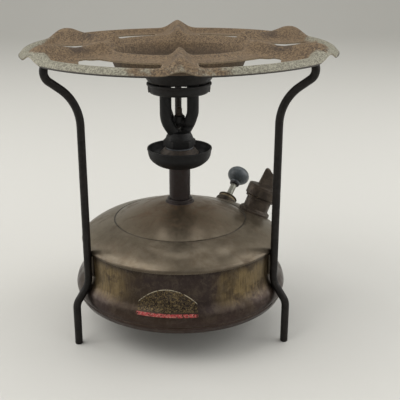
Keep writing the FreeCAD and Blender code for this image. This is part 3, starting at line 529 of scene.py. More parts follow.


# A metal with two tones in clouds, worn edges, painted shade in crevices and fine relief.
def metalMaterial(name, base, second, wear, darkAndShade, metallic=0.8, rough=(0.35, 0.6), scale=90.0,
                  grainScale=900.0, pits=0.4, relief=0.05, wearShare=0.6, spin=0.0, speckle=0.35,
                  edges=(0.53, 0.6)):
    material, tree, shader, coords = newMaterial(name)
    mask = useGroup(tree, clouds, {"Vector": coords, "Scale": scale, "Low": 0.4, "High": 0.62})["Mask"]
    fine = useGroup(tree, clouds, {"Vector": coords, "Scale": scale * 4.3, "Low": 0.42,
                                   "High": 0.62})["Mask"]
    surface = useGroup(tree, grain, {"Vector": coords, "Scale": grainScale, "Pits": pits})
    wearAndShade = useGroup(tree, edgeWearAndShade, {"Vector": coords, "Start": edges[0], "Full": edges[1], "Break": 700.0})
    colour = blended(tree, mask, base, second)
    colour = blended(tree, product(tree, fine, speckle), colour, darkAndShade)
    # Painted shade in the hollows.
    colour = blended(tree, product(tree, wearAndShade["CreviceShade"], 0.8), colour, darkAndShade)
    colour = blended(tree, product(tree, wearAndShade["Mask"], wearShare), colour, wear)
    feed(tree, shader, "Base Color", colour)
    feed(tree, shader, "Roughness", total(tree, rough[0], product(tree, mask, rough[1] - rough[0])))
    feed(tree, shader, "Metallic", less(tree, metallic,
                                        product(tree, fine, metallic * 0.3)) if metallic else 0.0)
    height = surface["Height"]
    if spin:
        marks = useGroup(tree, spinMarks, {"Vector": coords, "Scale": 1500.0})["Height"]
        height = total(tree, height, product(tree, marks, spin))
    addBump(tree, shader, height, relief)
    return material


# Galvanised pressing gone brown: zinc along the flange, rust everywhere else.
def supportMaterial():
    material, tree, shader, coords = newMaterial("support_rust")
    radius, azimuth, height = around(tree, coords)
    grainy = useGroup(tree, grain, {"Vector": coords, "Scale": 620.0, "Pits": 0.5})
    fine = noise(tree, coords, 800.0, 4.0, 0.7)
    middling = noise(tree, coords, 380.0, 5.0, 0.7)
    broad = useGroup(tree, clouds, {"Vector": coords, "Scale": 24.0, "Low": 0.36, "High": 0.64})["Mask"]
    patch = useGroup(tree, clouds, {"Vector": coords, "Scale": 60.0, "Low": 0.38, "High": 0.62})["Mask"]
    brown = blended(tree, smoothed(tree, fine, 0.36, 0.62), srgb(58, 45, 33), srgb(128, 107, 80))
    brown = blended(tree, product(tree, smoothed(tree, middling, 0.5, 0.6), 0.6), brown, srgb(54, 41, 31))
    brown = blended(tree, product(tree, broad, 0.4), brown, srgb(106, 86, 62))
    # Painted shade in the saddles of the ridges, between radius 79 and 94 mm.
    valleyShade = product(tree, window(tree, radius, 0.079, 0.094, 0.006),
                     smoothed(tree, height, 0.2362, 0.2395))
    valleyShade = product(tree, valleyShade, smoothed(tree, middling, 0.35, 0.6, 0.35, 0.85))
    brown = blended(tree, valleyShade, brown, srgb(50, 38, 29))
    zinc = blended(tree, smoothed(tree, fine, 0.38, 0.6), srgb(96, 92, 79), srgb(150, 147, 131))
    rim = smoothed(tree, height, 0.2435, 0.2375)
    rim = product(tree, rim, smoothed(tree, radius, 0.1105, 0.1175))
    front = smoothed(tree, maths(tree, "ABSOLUTE", azimuth), 8.0, 24.0)
    rim = product(tree, rim, total(tree, 0.35, product(tree, front, 0.65)))
    rim = product(tree, rim, smoothed(tree, maths(tree, "ABSOLUTE", azimuth), 128.0, 98.0, 0.0, 1.0))
    spread = total(tree, rim, product(tree, less(tree, patch, 0.5), 0.5), True)
    fleck = product(tree, smoothed(tree, middling, 0.52, 0.7), 0.25)
    colour = blended(tree, less(tree, smoothed(tree, spread, 0.25, 0.75), fleck, True), brown, zinc)
    wearAndShade = useGroup(tree, edgeWearAndShade, {"Vector": coords, "Start": 0.515, "Full": 0.57, "Break": 500.0})
    colour = blended(tree, product(tree, wearAndShade["Mask"], 0.35), colour, srgb(150, 136, 114))
    # Painted shade in the hollows.
    colour = blended(tree, product(tree, wearAndShade["CreviceShade"], 0.55), colour, srgb(54, 42, 34))
    # Painted shade: darker down the mouth's funnel below the plate.
    inner = product(tree, smoothed(tree, height, 0.234, 0.222), 0.7)
    colour = blended(tree, inner, colour, srgb(58, 46, 36))
    # Painted shadow: a dark line along the flange's bottom edge.
    lip = smoothed(tree, height, 0.2342, 0.2333)
    colour = blended(tree, product(tree, lip, smoothed(tree, radius, 0.118, 0.121)), colour,
                     srgb(34, 28, 23))
    feed(tree, shader, "Base Color", colour)
    feed(tree, shader, "Roughness", less(tree, 0.82, product(tree, spread, 0.22)))
    feed(tree, shader, "Metallic", product(tree, spread, 0.25))
    addBump(tree, shader, total(tree, grainy["Height"], middling), 0.16)
    return material


print("stage: node groups")
domeBrass = tankMaterial("tank_dome_brass", "dome")
sideBrass = tankMaterial("tank_side_brass", "side")
bottomBrass = tankMaterial("tank_bottom_brass", "bottom")
darkBronze = metalMaterial("dark_bronze", srgb(50, 44, 38), srgb(74, 66, 54), srgb(132, 118, 92),
                           srgb(24, 21, 19), rough=(0.36, 0.55), scale=70.0, spin=0.4, wearShare=0.7)
riserBronze = metalMaterial("riser_bronze", srgb(44, 36, 34), srgb(54, 47, 46), srgb(112, 98, 80),
                            srgb(20, 17, 17), rough=(0.34, 0.5), scale=60.0, spin=0.4, wearShare=0.6)
fillerBronze = metalMaterial("filler_bronze", srgb(78, 68, 58), srgb(58, 50, 43), srgb(150, 132, 106),
                             srgb(36, 30, 26), metallic=0.75, rough=(0.42, 0.6), scale=120.0, spin=0.3,
                             wearShare=0.7, relief=0.07)
sootMetal = metalMaterial("sooted_brass", srgb(17, 17, 18), srgb(24, 23, 23), srgb(62, 55, 48),
                          srgb(8, 8, 8), metallic=0.5, rough=(0.5, 0.7), scale=80.0, pits=0.5,
                          relief=0.06, wearShare=0.4)
scorched = metalMaterial("scorched_brass", srgb(62, 52, 43), srgb(44, 38, 32), srgb(112, 94, 72),
                         srgb(26, 22, 19), metallic=0.5, rough=(0.5, 0.7), scale=150.0, grainScale=700.0,
                         relief=0.1)
sootSteel = metalMaterial("sooted_steel", srgb(19, 18, 18), srgb(30, 26, 24), srgb(74, 64, 54),
                          srgb(8, 8, 8), metallic=0.45, rough=(0.52, 0.76), scale=75.0, relief=0.08,
                          wearShare=0.35)
legSteel = metalMaterial("leg_steel", srgb(26, 21, 18), srgb(19, 16, 14), srgb(66, 55, 44),
                         srgb(10, 9, 8), metallic=0.6, rough=(0.42, 0.62), scale=85.0, relief=0.08,
                         wearShare=0.4, edges=(0.56, 0.66))
knobPaint = metalMaterial("knob_paint", srgb(64, 70, 74), srgb(78, 85, 90), srgb(112, 118, 120),
                          srgb(34, 37, 40), metallic=0.0, rough=(0.32, 0.5), scale=120.0, relief=0.03,
                          pits=0.2, wearShare=0.3, speckle=0.18)
rodSteel = metalMaterial("rod_steel", srgb(150, 150, 140), srgb(126, 126, 116), srgb(180, 180, 172),
                         srgb(78, 76, 68), metallic=0.7, rough=(0.36, 0.55), scale=160.0, relief=0.03,
                         wearShare=0.3, speckle=0.4)
blackFerrule = metalMaterial("black_ferrule", srgb(16, 16, 17), srgb(24, 24, 25), srgb(60, 58, 56),
                             srgb(8, 8, 8), metallic=0.1, rough=(0.4, 0.6), scale=150.0, relief=0.03)
brightBrass = metalMaterial("bright_brass", srgb(184, 150, 88), srgb(150, 118, 66), srgb(206, 178, 118),
                            srgb(84, 64, 36), metallic=0.95, rough=(0.28, 0.45), scale=120.0, spin=0.5)
springSteel = metalMaterial("spring_steel", srgb(120, 120, 118), srgb(96, 94, 90), srgb(150, 150, 148),
                            srgb(50, 48, 44), metallic=0.95, rough=(0.3, 0.45), scale=300.0)
leadGrey = metalMaterial("lead", srgb(92, 94, 98), srgb(70, 72, 76), srgb(128, 130, 134),
                         srgb(44, 44, 46), metallic=0.6, rough=(0.5, 0.7), scale=200.0)
leather = metalMaterial("seal_leather", srgb(104, 70, 42), srgb(74, 48, 30), srgb(140, 100, 66),
                        srgb(44, 28, 18), metallic=0.0, rough=(0.6, 0.85), scale=240.0, pits=0.8,
                        relief=0.12)
cork = metalMaterial("cork", srgb(168, 128, 84), srgb(134, 98, 62), srgb(188, 150, 106), srgb(78, 52, 32),
                     metallic=0.0, rough=(0.7, 0.9), scale=420.0, pits=1.0, relief=0.15, speckle=0.6)
supportRust = supportMaterial()
print("stage: materials")

tank = {"wall": 0.9, "band": 82.7, "bulge": 90.0, "bulgeHeight": 38.2, "bandFoot": 52.4, "joint": 89.0,
        "jointHeight": 35.0, "rim": 86.5, "rimHeight": 28.5, "floorEdge": 34.0, "floorCentre": 37.0,
        "seam": 80.0, "lap": 3.0, "shoulder": 68.0, "shoulderHeight": 89.0, "crease": 55.7,
        "creaseHeight": 92.6, "top": 107.4, "topRadius": 10.0}


# The arc that leaves a at slope aSlope and meets b: cubic Hermite in height
# over the radius, so neighbouring stretches join without a kink.
def hermite(a, b, slopeA, slopeB, count):
    t = np.linspace(0, 1, count)
    run = b[0] - a[0]
    h = ((2 * t ** 3 - 3 * t ** 2 + 1) * a[1] + (t ** 3 - 2 * t ** 2 + t) * slopeA * run
         + (-2 * t ** 3 + 3 * t ** 2) * b[1] + (t ** 3 - t ** 2) * slopeB * run)
    return [(a[0] + run * s, z) for s, z in zip(t, h)]


def domeLine(shrink):
    t = tank
    edge = (t["band"] + t["wall"] - 0.8 - shrink, t["seam"] - shrink * 0.6)
    shoulder = (t["shoulder"] - shrink * 0.5, t["shoulderHeight"] - shrink)
    crease = (t["crease"], t["creaseHeight"] - shrink)
    top = (t["topRadius"], t["top"] - shrink)
    outer = hermite(edge, shoulder, -0.86, -0.40, 12)
    middle = hermite(shoulder, crease, -0.40, -0.24, 8)[1:]
    groove = [(crease[0] - 0.35, crease[1] - 0.25), (crease[0] - 0.7, crease[1] + 0.02)]
    inner = hermite((crease[0] - 1.1, crease[1] + 0.24), top, -0.46, -0.14, 22)
    return outer + middle + groove + inner


def makeTank():
    t = tank
    calm = sheetRipple(0.22, 11)
    # side: straight band swelling into the bulge above the foot joint
    side = [(t["band"], t["seam"] - 1.5), (t["band"] - t["wall"], t["seam"] - 1.5),
            (t["band"] - t["wall"], t["bandFoot"], 14), (t["bulge"] - t["wall"] - 0.9,
                                                         t["bulgeHeight"] + 2.6, 6),
            (t["joint"] - t["wall"], t["jointHeight"]), (t["joint"], t["jointHeight"]),
            (t["joint"] + 0.25, t["jointHeight"] + 0.5, 0.4), (t["bulge"], t["bulgeHeight"], 9),
            (t["bulge"] - 1.4, t["bulgeHeight"] + 6.0, 12), (t["band"], t["bandFoot"], 16)]
    makePiece("tank_side_shell", [turned(side, 256, None, 1.2, 12, calm)], sideBrass, "stove",
              ["tank_side"])
    bottom = [(t["joint"] + 0.2, t["jointHeight"] - 0.15, 0.3),
              (t["joint"] - t["wall"] - 0.2, t["jointHeight"]), (t["rim"] - 0.8, t["rimHeight"] + 2, 1),
              (t["rim"] - 4, t["floorEdge"], 3), (0, t["floorCentre"]), (0, t["floorCentre"] - t["wall"]),
              (t["rim"] - 3.6, t["floorEdge"] - t["wall"], 3), (t["rim"] - 1, t["rimHeight"], 0.6),
              (t["rim"] + 0.2, t["rimHeight"] + 0.3, 1.2), (t["joint"] - 0.2, t["jointHeight"] - 2.2, 2.4)]
    makePiece("tank_bottom_plate", [turned(bottom, 256, None, 2.0, 10, sheetRipple(0.15, 12))],
              bottomBrass, "stove", ["tank_bottom"])
    lapOuter = [(t["band"] + 0.02, t["seam"] - t["lap"]), (t["band"] + t["wall"], t["seam"] - t["lap"],
                                                           0.35), (t["band"] + t["wall"] + 0.15,
                                                                   t["seam"] - 1.6, 1.5)]
    outline = lapOuter + domeLine(0) + domeLine(t["wall"])[::-1] + [(t["band"] - 1.0, t["seam"] - 1.2)]
    makePiece("tank_dome_shell", [turned(outline, 256, None, 1.5, 10,
                                         sheetRipple(0.3, 13, lambda r,
                                                     z: np.clip(r / 0.03 - 0.5, 0, 1)))], domeBrass,
              "stove", ["tank_dome"])


makeTank()
print("stage: tank")

cup = {"riser": 8.8, "bore": 6.4, "foot": 96.0, "top": 138.0, "collar": 10.6, "collarTop": 110.2,
       "lip": 12.2, "radius": 26.5, "rim": 154.0, "wall": 0.9, "skirt": 16.0, "skirtTopRadius": 12.4,
       "skirtTop": 153.6}


def makeRiserAndCup():
    c = cup
    riser = [(c["bore"], c["foot"]), (c["riser"], c["foot"]), (c["riser"], c["top"]), (c["bore"], c["top"])]
    makePiece("riser_pipe", [turned(riser, 96, None, 1.5)], riserBronze, "stove",
              ["riser_tube"])
    collar = [(c["riser"], c["collarTop"] - 9), (c["lip"] + 0.6, c["collarTop"] - 9),
              (c["lip"] + 0.6, c["collarTop"] - 4.0, 0.5), (c["lip"] - 0.4, c["collarTop"] - 2.6, 0.5),
              (c["collar"] + 0.2, c["collarTop"] - 2.2, 0.5), (c["collar"], c["collarTop"] - 0.2, 0.7),
              (c["riser"] + 0.6, c["collarTop"] + 0.2, 0.5), (c["riser"], c["collarTop"] - 0.1)]
    makePiece("riser_ring", [turned(collar, 96, None, 0.5)], riserBronze, "stove",
              ["riser_collar"])
    bowl = [(c["bore"] + 0.4, c["top"]), (c["riser"] + 2.4, c["top"], 4),
            (c["radius"] - 8.0, c["top"] + 1.4, 14), (c["radius"] - 1.2, c["top"] + 7.2, 9),
            (c["radius"] - 0.1, c["rim"] - 2.2, 6), (c["radius"] + 0.25, c["rim"] - 1.3, 0.5),
            (c["radius"] + 0.25, c["rim"], 0.45), (c["radius"] - c["wall"], c["rim"], 0.4),
            (c["radius"] - c["wall"] - 0.1, c["rim"] - 2.4, 6), (c["radius"] - 2.1, c["top"] + 7.8, 8),
            (c["radius"] - 8.2, c["top"] + 2.3, 13), (c["riser"] + 2.4, c["top"] + c["wall"], 4),
            (c["bore"] + 0.4, c["top"] + c["wall"])]
    makePiece("cup_bowl", [turned(bowl, 128, None, 0.8, 9)], sootMetal, "stove",
              ["spirit_cup"])
    skirt = [(c["bore"] + 1.6, c["top"] + c["wall"]), (c["riser"] + 2.4, c["top"] + c["wall"]),
             (c["skirt"], c["top"] + 3.4, 0.4), (c["skirt"], c["top"] + 11.6, 0.6),
             (c["skirtTopRadius"] + 0.6, c["skirtTop"] - 0.7, 2),
             (c["skirtTopRadius"], c["skirtTop"], 0.3), (c["bore"] + 1.6, c["skirtTop"])]
    makePiece("cup_cone", [turned(skirt, 96, None, 0.7)], scorched, "stove",
              ["cup_skirt"])


makeRiserAndCup()
print("stage: riser and cup")

burner = {"flats": 23.0, "turn": 6.0, "nutFoot": 154.8, "nutTop": 161.4, "neck": 10.2,
          "neckHeight": 164.6, "tube": 4.7, "bore": 3.2, "side": 11.0, "front": 6.5, "tubeTop": 209.4,
          "bend": 20.0, "block": 4.6, "blockFoot": 171.4, "blockTop": 181.0, "nipple": 2.3,
          "nippleTip": 188.0, "ring": 25.3, "mouth": 21.4, "ringFoot": 199.6, "ringTop": 207.8,
          "ringWall": 1.2, "headTop": 213.4, "head": 21.5, "headBore": 8.0, "bellFoot": 25.2,
          "bellLow": 209.2, "bell": 33.0, "bellTop": 221.0, "spreader": 17.0, "spreaderHeight": 218.6}


# Hexagon with chamfered ends: r = the smaller of the flat, f / cos(a), and
# the chamfer cone at that height.
def hexNut(flats, foot, top, turn, chamfer):
    angles = np.radians(turn) + np.arange(72) / 72 * 2 * math.pi
    heights = np.concatenate([[foot], foot + chamfer * np.array([0.3, 0.65, 1.0, 1.4]), [(foot + top) / 2],
                              top - chamfer * np.array([1.4, 1.0, 0.65, 0.3]), [top]])

    def section(a, h):
        flat = flats / 2 / np.cos((a - math.radians(turn) + math.pi / 6) % (math.pi / 3) - math.pi / 6)
        end = np.minimum(h - foot, top - h)
        cone = flats / 2 + end / chamfer * (flats / math.sqrt(3) - flats / 2) * 1.15
        r = np.minimum(flat, cone)
        return r * np.sin(a), -r * np.cos(a)
    return stacked(section, heights, angles)


def makeBurner():
    b = burner
    reach = math.hypot(b["side"], b["front"])
    lean = math.degrees(math.atan2(b["front"], b["side"]))
    neck = [(0, b["nutTop"] - 1), (b["flats"] / 2 - 0.2, b["nutTop"] - 1),
            (b["flats"] / 2 - 0.2, b["nutTop"] + 0.3, 0.4), (b["neck"] + 0.7, b["nutTop"] + 2, 1.5),
            (b["neck"], b["neckHeight"], 2), (b["neck"] - 1, b["neckHeight"] + 2.4, 1.2),
            (b["neck"] - 4.4, b["neckHeight"] + 3.8, 1), (0, b["neckHeight"] + 3.8)]
    makePiece("burner_body", [hexNut(b["flats"], b["nutFoot"], b["nutTop"], b["turn"], 1.0),
                              turned(neck, 96, None, 0.8)], sootMetal, "stove",
              ["burner_nut"], 24)
    line = rounded([(b["tube"] + 0.05, b["neckHeight"] - 2), (b["tube"] + 0.05, b["neckHeight"] + 1.5, 5),
                    (reach, b["neckHeight"] + 13, b["bend"]), (reach, b["tubeTop"])], False, 16)
    line = densified(line, 1.0, False)
    path = np.stack([line[:, 0], 0 * line[:, 0], line[:, 1]], 1)
    climbers = [rod(path, b["tube"], (0, 1, 0), 40, 0.5,
                    Matrix.Rotation(math.radians(lean + half), 4, "Z")) for half in (0, 180)]
    makePiece("vapour_tubes_up", climbers, sootMetal, "stove", ["climbing_tubes"])
    line = rounded([(reach - 4.6, b["blockTop"] - 8.6), (reach, b["blockTop"] + 3, 10),
                    (reach, b["tubeTop"])], False, 16)
    line = densified(line, 1.0, False)
    path = np.stack([line[:, 0], 0 * line[:, 0], line[:, 1]], 1)
    fallers = [rod(path, b["tube"], (0, 1, 0), 40, 3.6,
                   Matrix.Rotation(math.radians(half - lean), 4, "Z")) for half in (0, 180)]
    makePiece("vapour_tubes_down", fallers, sootMetal, "stove", ["falling_tubes"])
    block = [(0, b["blockFoot"]), (b["block"] - 2, b["blockFoot"], 0.5),
             (b["block"], b["blockFoot"] + 4, 1), (b["block"], b["blockTop"] - 1, 0.4),
             (b["block"] - 1, b["blockTop"], 0.3), (0, b["blockTop"])]
    ends = np.linspace(-reach, reach, 30)
    arm = np.stack([ends, 0 * ends, 0 * ends + b["blockTop"] - 5.2], 1)
    makePiece("jet_body", [turned(block, 48, None, 0.8),
                           rod(arm, b["tube"] - 1.2, (0, 1, 0), 28, 0.5,
                               Matrix.Rotation(math.radians(-lean), 4, "Z"))], sootMetal, "stove",
              ["jet_block"])
    nipple = [(0, b["blockTop"] - 0.5), (b["nipple"] + 0.5, b["blockTop"] - 0.5),
              (b["nipple"] + 0.5, b["blockTop"] + 1.2, 0.3), (b["nipple"], b["blockTop"] + 1.8, 0.4),
              (b["nipple"], b["nippleTip"] - 1.6, 0.5), (b["nipple"] - 1, b["nippleTip"], 0.3),
              (0.35, b["nippleTip"]), (0.35, b["nippleTip"] - 1.5), (0, b["nippleTip"] - 1.5)]
    makePiece("jet_tip", [turned(nipple, 40, None, 0.4)], scorched, "stove",
              ["jet_nipple"])
    print("stage: burner tubes and jet")

    ring = [(b["mouth"], b["ringFoot"] + 0.3, 0.3), (b["ring"] - 2.2, b["ringFoot"], 1.2),
            (b["ring"] - 0.1, b["ringFoot"] + 2.0, 2.6), (b["ring"], b["ringTop"] - 2.2, 0.3),
            (b["ring"] + 0.9, b["ringTop"] - 1.6, 0.6), (b["ring"] + 0.9, b["ringTop"], 0.7),
            (b["ring"] - b["ringWall"], b["ringTop"], 0.4),
            (b["ring"] - b["ringWall"], b["ringFoot"] + 2.9, 2),
            (b["ring"] - 2.8, b["ringFoot"] + b["ringWall"], 1),
            (b["mouth"], b["ringFoot"] + b["ringWall"] + 0.2, 0.3)]
    surfaces = [turned(ring, 128, None, 0.6, 9)]
    for s in (-1, 1):
        ends = np.linspace(b["side"] + 1, b["ring"] - 0.6, 12) * s
        flat = np.stack([ends, 0 * ends, 0 * ends + b["ringFoot"] + 2.0], 1)
        surfaces.append(bracket(flat, 2 * b["front"], 2.0))
    makePiece("wind_collar", surfaces, sootSteel, "stove", ["wind_ring"])
    head = [(b["headBore"], b["tubeTop"]), (b["head"] - 1.5, b["tubeTop"], 1.2),
            (b["head"], b["tubeTop"] + 1.6, 0.5), (b["head"], b["headTop"] - 1.8, 0.3),
            (b["head"] - 1.6, b["headTop"] - 1.8), (b["head"] - 1.6, b["headTop"], 0.4),
            (b["headBore"] + 1.5, b["headTop"], 0.8), (b["headBore"], b["headTop"] - 1.5, 0.4)]
    makePiece("burner_crown", [turned(head, 96, None, 0.8)], sootMetal, "stove",
              ["burner_head"])
    low = b["headTop"] - 1.5
    bell = [(b["head"] - 1.3, low), (b["bellFoot"] - 2.4, low, 0.6),
            (b["bellFoot"] - 1, b["bellLow"], 0.2), (b["bellFoot"], b["bellLow"], 0.2),
            (b["bellFoot"] + 2.2, b["bellLow"] + 3.4, 6), (b["bell"] - 1.4, b["bellTop"] - 2.6, 8),
            (b["bell"], b["bellTop"] - 0.3, 0.4), (b["bell"] - 0.8, b["bellTop"] - 0.1, 0.3),
            (b["bell"] - 2.6, b["bellTop"] - 2.6, 8), (b["bellFoot"] + 0.9, b["bellLow"] + 4.6, 5),
            (b["bellFoot"] - 0.6, low + 1.0, 0.8), (b["head"] - 1.3, low + 1.0)]
    makePiece("bell_cone", [turned(bell, 128, None, 0.7, 9)], sootSteel, "flame_bell",
              ["flame_bell"])
    s, top = b["spreader"], b["spreaderHeight"]
    dish = [(0, top - 1.2), (s - 5, top - 0.6, 4), (s, top - 2.6, 0.3), (s, top - 1.4, 0.4),
            (s - 5, top + 0.8, 5), (0, top + 0.2)]
    pegs = []
    for n in range(3):
        a = math.radians(120 * n + 30)
        peg = [(0, b["headTop"] + 0.3), (1.3, b["headTop"] + 0.3, 0.3), (1.3, top - 0.3), (0, top - 0.3)]
        pegs.append(turned(peg, 24, Matrix.Translation(((b["head"] - 8) * math.cos(a) * mm,
                                                        (b["head"] - 8) * math.sin(a) * mm, 0))))
    makePiece("spreader_plate", [turned(dish, 96, None, 0.8), *pegs], sootSteel, "flame_spreader",
              ["flame_spreader"])
    print("stage: burner head")


# Flat bar: a superellipse section, |y/w|^8 + |z/t|^8 = 1, along a straight path.
def bracket(path, width, thickness):
    a = np.arange(32) / 32 * 2 * math.pi
    y = width / 2 * np.sign(np.cos(a)) * np.abs(np.cos(a)) ** 0.25
    z = thickness / 2 * np.sign(np.sin(a)) * np.abs(np.sin(a)) ** 0.25
    offset = np.stack([0 * y, y, z], -1)
    points = path[:, None] + offset[None]
    points = np.concatenate([path[:1, None] + 0 * offset[None], points,
                             path[-1:, None] + 0 * offset[None]]) * mm
    return points.reshape(-1, 3), gridFaces(len(points), 32, False, True)


makeBurner()

filler = {"azimuth": 110.0, "offset": 70.0, "tilt": 24.0, "height": 88.41, "flange": 13.6, "neck": 11.0,
          "bore": 8.5, "neckTop": 19.5, "cap": 14.0, "capFoot": 11.5, "capTop": 23.6, "crown": 1.6,
          "wingHeight": 16.3, "wingThick": 3.8}


# Wing: superellipse sections stacked up, between a steep edge that runs up to
# the peak and an edge that steps in over a low shoulder.
def wing(place):
    f = filler
    rise = f["wingHeight"]
    level = np.array([-0.4, 2, 5, 8, 10.4, 12.2, 13.2, 14.4, 15.5, 16.1, 16.3])
    steep = np.array([-7.4, -7.0, -6.7, -6.5, -6.3, -6.15, -6.05, -5.9, -5.5, -4.9, -4.1])
    stepped = np.array([10.4, 10.4, 10.2, 9.2, 7.4, 4.4, 1.8, -0.4, -1.7, -2.6, -3.4])
    z = np.concatenate([np.linspace(-0.4, rise - 1.2, 44),
                        rise - 1.2 * (1 - np.linspace(0, 1, 14)[1:]) ** 2])
    ease = np.array([0.25, 0.5, 0.25])
    low = np.convolve(np.pad(np.interp(z, level, steep), 1, "edge"), ease, "valid")
    high = np.convolve(np.pad(np.interp(z, level, stepped), 1, "edge"), ease, "valid")
    t = np.clip(z / rise, 0, 1)
    thick = f["wingThick"] / 2 * (1.0 + 0.5 * (1 - t) ** 4) * np.sqrt(np.clip(1.05 - t ** 16, 0.05, 1))
    a = np.arange(48) / 48 * 2 * math.pi
    across = np.sign(np.cos(a)) * np.abs(np.cos(a)) ** 0.55
    x = ((low + high) / 2)[:, None] + ((high - low) / 2)[:, None] * across
    y = thick[:, None] * np.sign(np.sin(a)) * np.abs(np.sin(a)) ** 0.55
    points = closedEnds(np.stack([x, y, f["capTop"] + z[:, None] + 0 * x], -1) * mm)
    return placed(points.reshape(-1, 3), place), gridFaces(len(points), 48, False, True)


def makeFiller():
    f = filler
    place = leaning(f["azimuth"], f["offset"], f["height"], f["tilt"])
    flange = [(f["neck"] - 0.2, -9), (f["flange"], -9), (f["flange"], 0.8, 0.5),
              (f["flange"] - 0.5, 1.6, 0.5), (f["neck"] + 0.9, 2.2, 0.5), (f["neck"] + 0.2, 3.2, 0.5),
              (f["neck"] - 0.2, 3.2)]
    makePiece("filler_boss", [turned(flange, 96, place, 0.6)], fillerBronze, "stove",
              ["filler_flange"])
    neck = [(f["bore"], -6), (f["neck"], -6), (f["neck"], f["neckTop"] - 1, 0.3),
            (f["neck"] - 1, f["neckTop"], 0.3), (f["bore"], f["neckTop"])]
    makePiece("filler_pipe", [turned(neck, 96, place, 0.8)], fillerBronze, "stove",
              ["filler_neck"])
    top, cap = f["capTop"], f["cap"]
    shell = [(f["neck"] + 0.06, f["capFoot"]), (cap - 1.3, f["capFoot"], 0.3),
             (cap - 1.3, f["capFoot"] + 1.7, 0.4), (cap - 0.1, f["capFoot"] + 2.5, 0.5),
             (cap, top - 2.4, 0.6), (cap - 0.25, top - 2.2, 0.2), (cap - 0.1, top - 1.6, 0.4),
             (cap - 0.5, top - 0.2, 0.9), (cap - 3, top + 0.45, 6), (0, top + f["crown"]),
             (0, f["neckTop"] + 1.6), (f["neck"] + 0.06, f["neckTop"] + 1.6)]
    makePiece("filler_lid", [turned(shell, 112, place, 0.7), wing(place)], fillerBronze, "filler_cap",
              ["filler_cap"])


makeFiller()
print("stage: filler")

pump = {"azimuth": 145.4, "offset": 76.5, "tilt": 50.0, "height": 84.69, "barrel": 8.0, "bore": 7.2,
        "mouth": 3.0, "cap": 8.9, "capTop": 4.4, "rod": 2.8, "lift": 28.2, "depth": 40.0, "knob": 10.3,
        "knobDepth": 17.0, "ferrule": 4.3, "spring": 2.9, "springWire": 0.32, "springFoot": -64.2,
        "springTop": -59.6, "valveLift": 1.0}


def makePump():
    p = pump
    place = leaning(p["azimuth"], p["offset"], p["height"], p["tilt"])
    flange = [(p["barrel"], -9), (p["barrel"] + 1.8, -9), (p["barrel"] + 1.8, -0.4, 0.5),
              (p["barrel"] + 1.1, 0.8, 0.4), (p["barrel"], 0.9)]
    makePiece("pump_boss", [turned(flange, 80, place, 0.6)], darkBronze, "stove",
              ["pump_flange"])
    knurls = 40
    top = p["capTop"]
    heights = np.array([p["mouth"], p["mouth"] + 0.25, p["mouth"] + 0.55, top - 0.8, top - 0.45,
                        top - 0.15, top])
    trim = np.array([0.5, 0.1, 0.0, 0.0, 0.1, 0.4, 0.9])

    def section(a, h):
        groove = 0.22 * np.maximum(0, np.cos(knurls * a)) ** 2
        r = p["cap"] - np.interp(h, heights, trim) - groove * (np.interp(h, heights, trim) < 0.3)
        return r * np.sin(a), -r * np.cos(a)
    rim = stacked(section, heights, np.arange(480) / 480 * 2 * math.pi, place)
    stem = [(p["rod"] + 0.1, -4), (p["bore"] - 0.05, -4), (p["bore"] - 0.05, p["mouth"] + 0.5),
            (p["rod"] + 0.1, p["mouth"] + 0.5)]
    gland = [(p["rod"] + 0.1, top - 0.2), (p["rod"] + 2.4, top - 0.2), (p["rod"] + 2.1, top + 0.7, 0.5),
             (p["rod"] + 0.1, top + 0.8)]
    makePiece("pump_lid", [rim, turned(stem, 64, place), turned(gland, 64, place)], darkBronze, "stove",
              ["pump_cap"], 28)
    shaft = [(0, -p["depth"] - 1), (1.5, -p["depth"] - 1, 0.2), (1.5, -p["depth"] + 8),
             (p["rod"], -p["depth"] + 8, 0.2), (p["rod"], p["lift"] - 3), (0, p["lift"] - 3)]
    makePiece("pump_shaft", [turned(shaft, 40, place, 1.5)], rodSteel, "pump_plunger",
              ["pump_rod"])
    low = p["lift"] - p["knobDepth"] / 2
    collar = [(p["rod"], low - 1.8), (p["ferrule"] - 0.4, low - 1.8, 0.3),
              (p["ferrule"] + 0.2, low - 1.0, 0.5), (p["ferrule"] + 0.4, low + 0.7), (p["rod"], low + 0.7)]
    makePiece("knob_ferrule", [turned(collar, 48, place, 0.4)], blackFerrule, "pump_plunger",
              ["pump_ferrule"])
    # knob: a ball whose half height differs below and above the widest line
    t = np.linspace(0, math.pi, 40)
    r = p["knob"] * np.sin(t) ** np.where(t < math.pi / 2, 1.15, 0.9)
    z = np.where(t < math.pi / 2, -8.4 * np.cos(t), -8.1 * np.cos(t))
    keep = (r > p["ferrule"] + 0.7) | (t > 1)
    line = [(0, low + 0.5), (p["ferrule"] + 0.5,
                             low + 0.35)] + [(a, p["lift"] + 0.4 + c) for a, c in zip(r[keep], z[keep])]
    line[-1] = (0, p["lift"] + p["knobDepth"] / 2)
    makePiece("pump_ball", [turned(line, 80, place)], knobPaint, "pump_plunger",
              ["pump_knob"])
    makeValveSpring(place)


# The valve's spring, wound between its foot and top, on a mesh of its own.
def makeValveSpring(place):
    p = pump
    winding = coil(p["spring"], p["springWire"], p["springFoot"], p["springTop"], 5, place)
    spring = makePiece("valve_coil", [winding], springSteel, "stove", ["valve_spring"])
    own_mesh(spring)


makePump()
print("stage: pump")

legs = {"radius": 3.175, "reach": 86.8, "foot": 98.2, "kneeFoot": 36.2, "kneeTop": 52.0, "flare": 201.4,
        "hookHeight": 222.6, "turn": 0.6, "arm": 234.6, "tip": 86.0, "hook": 112.6}


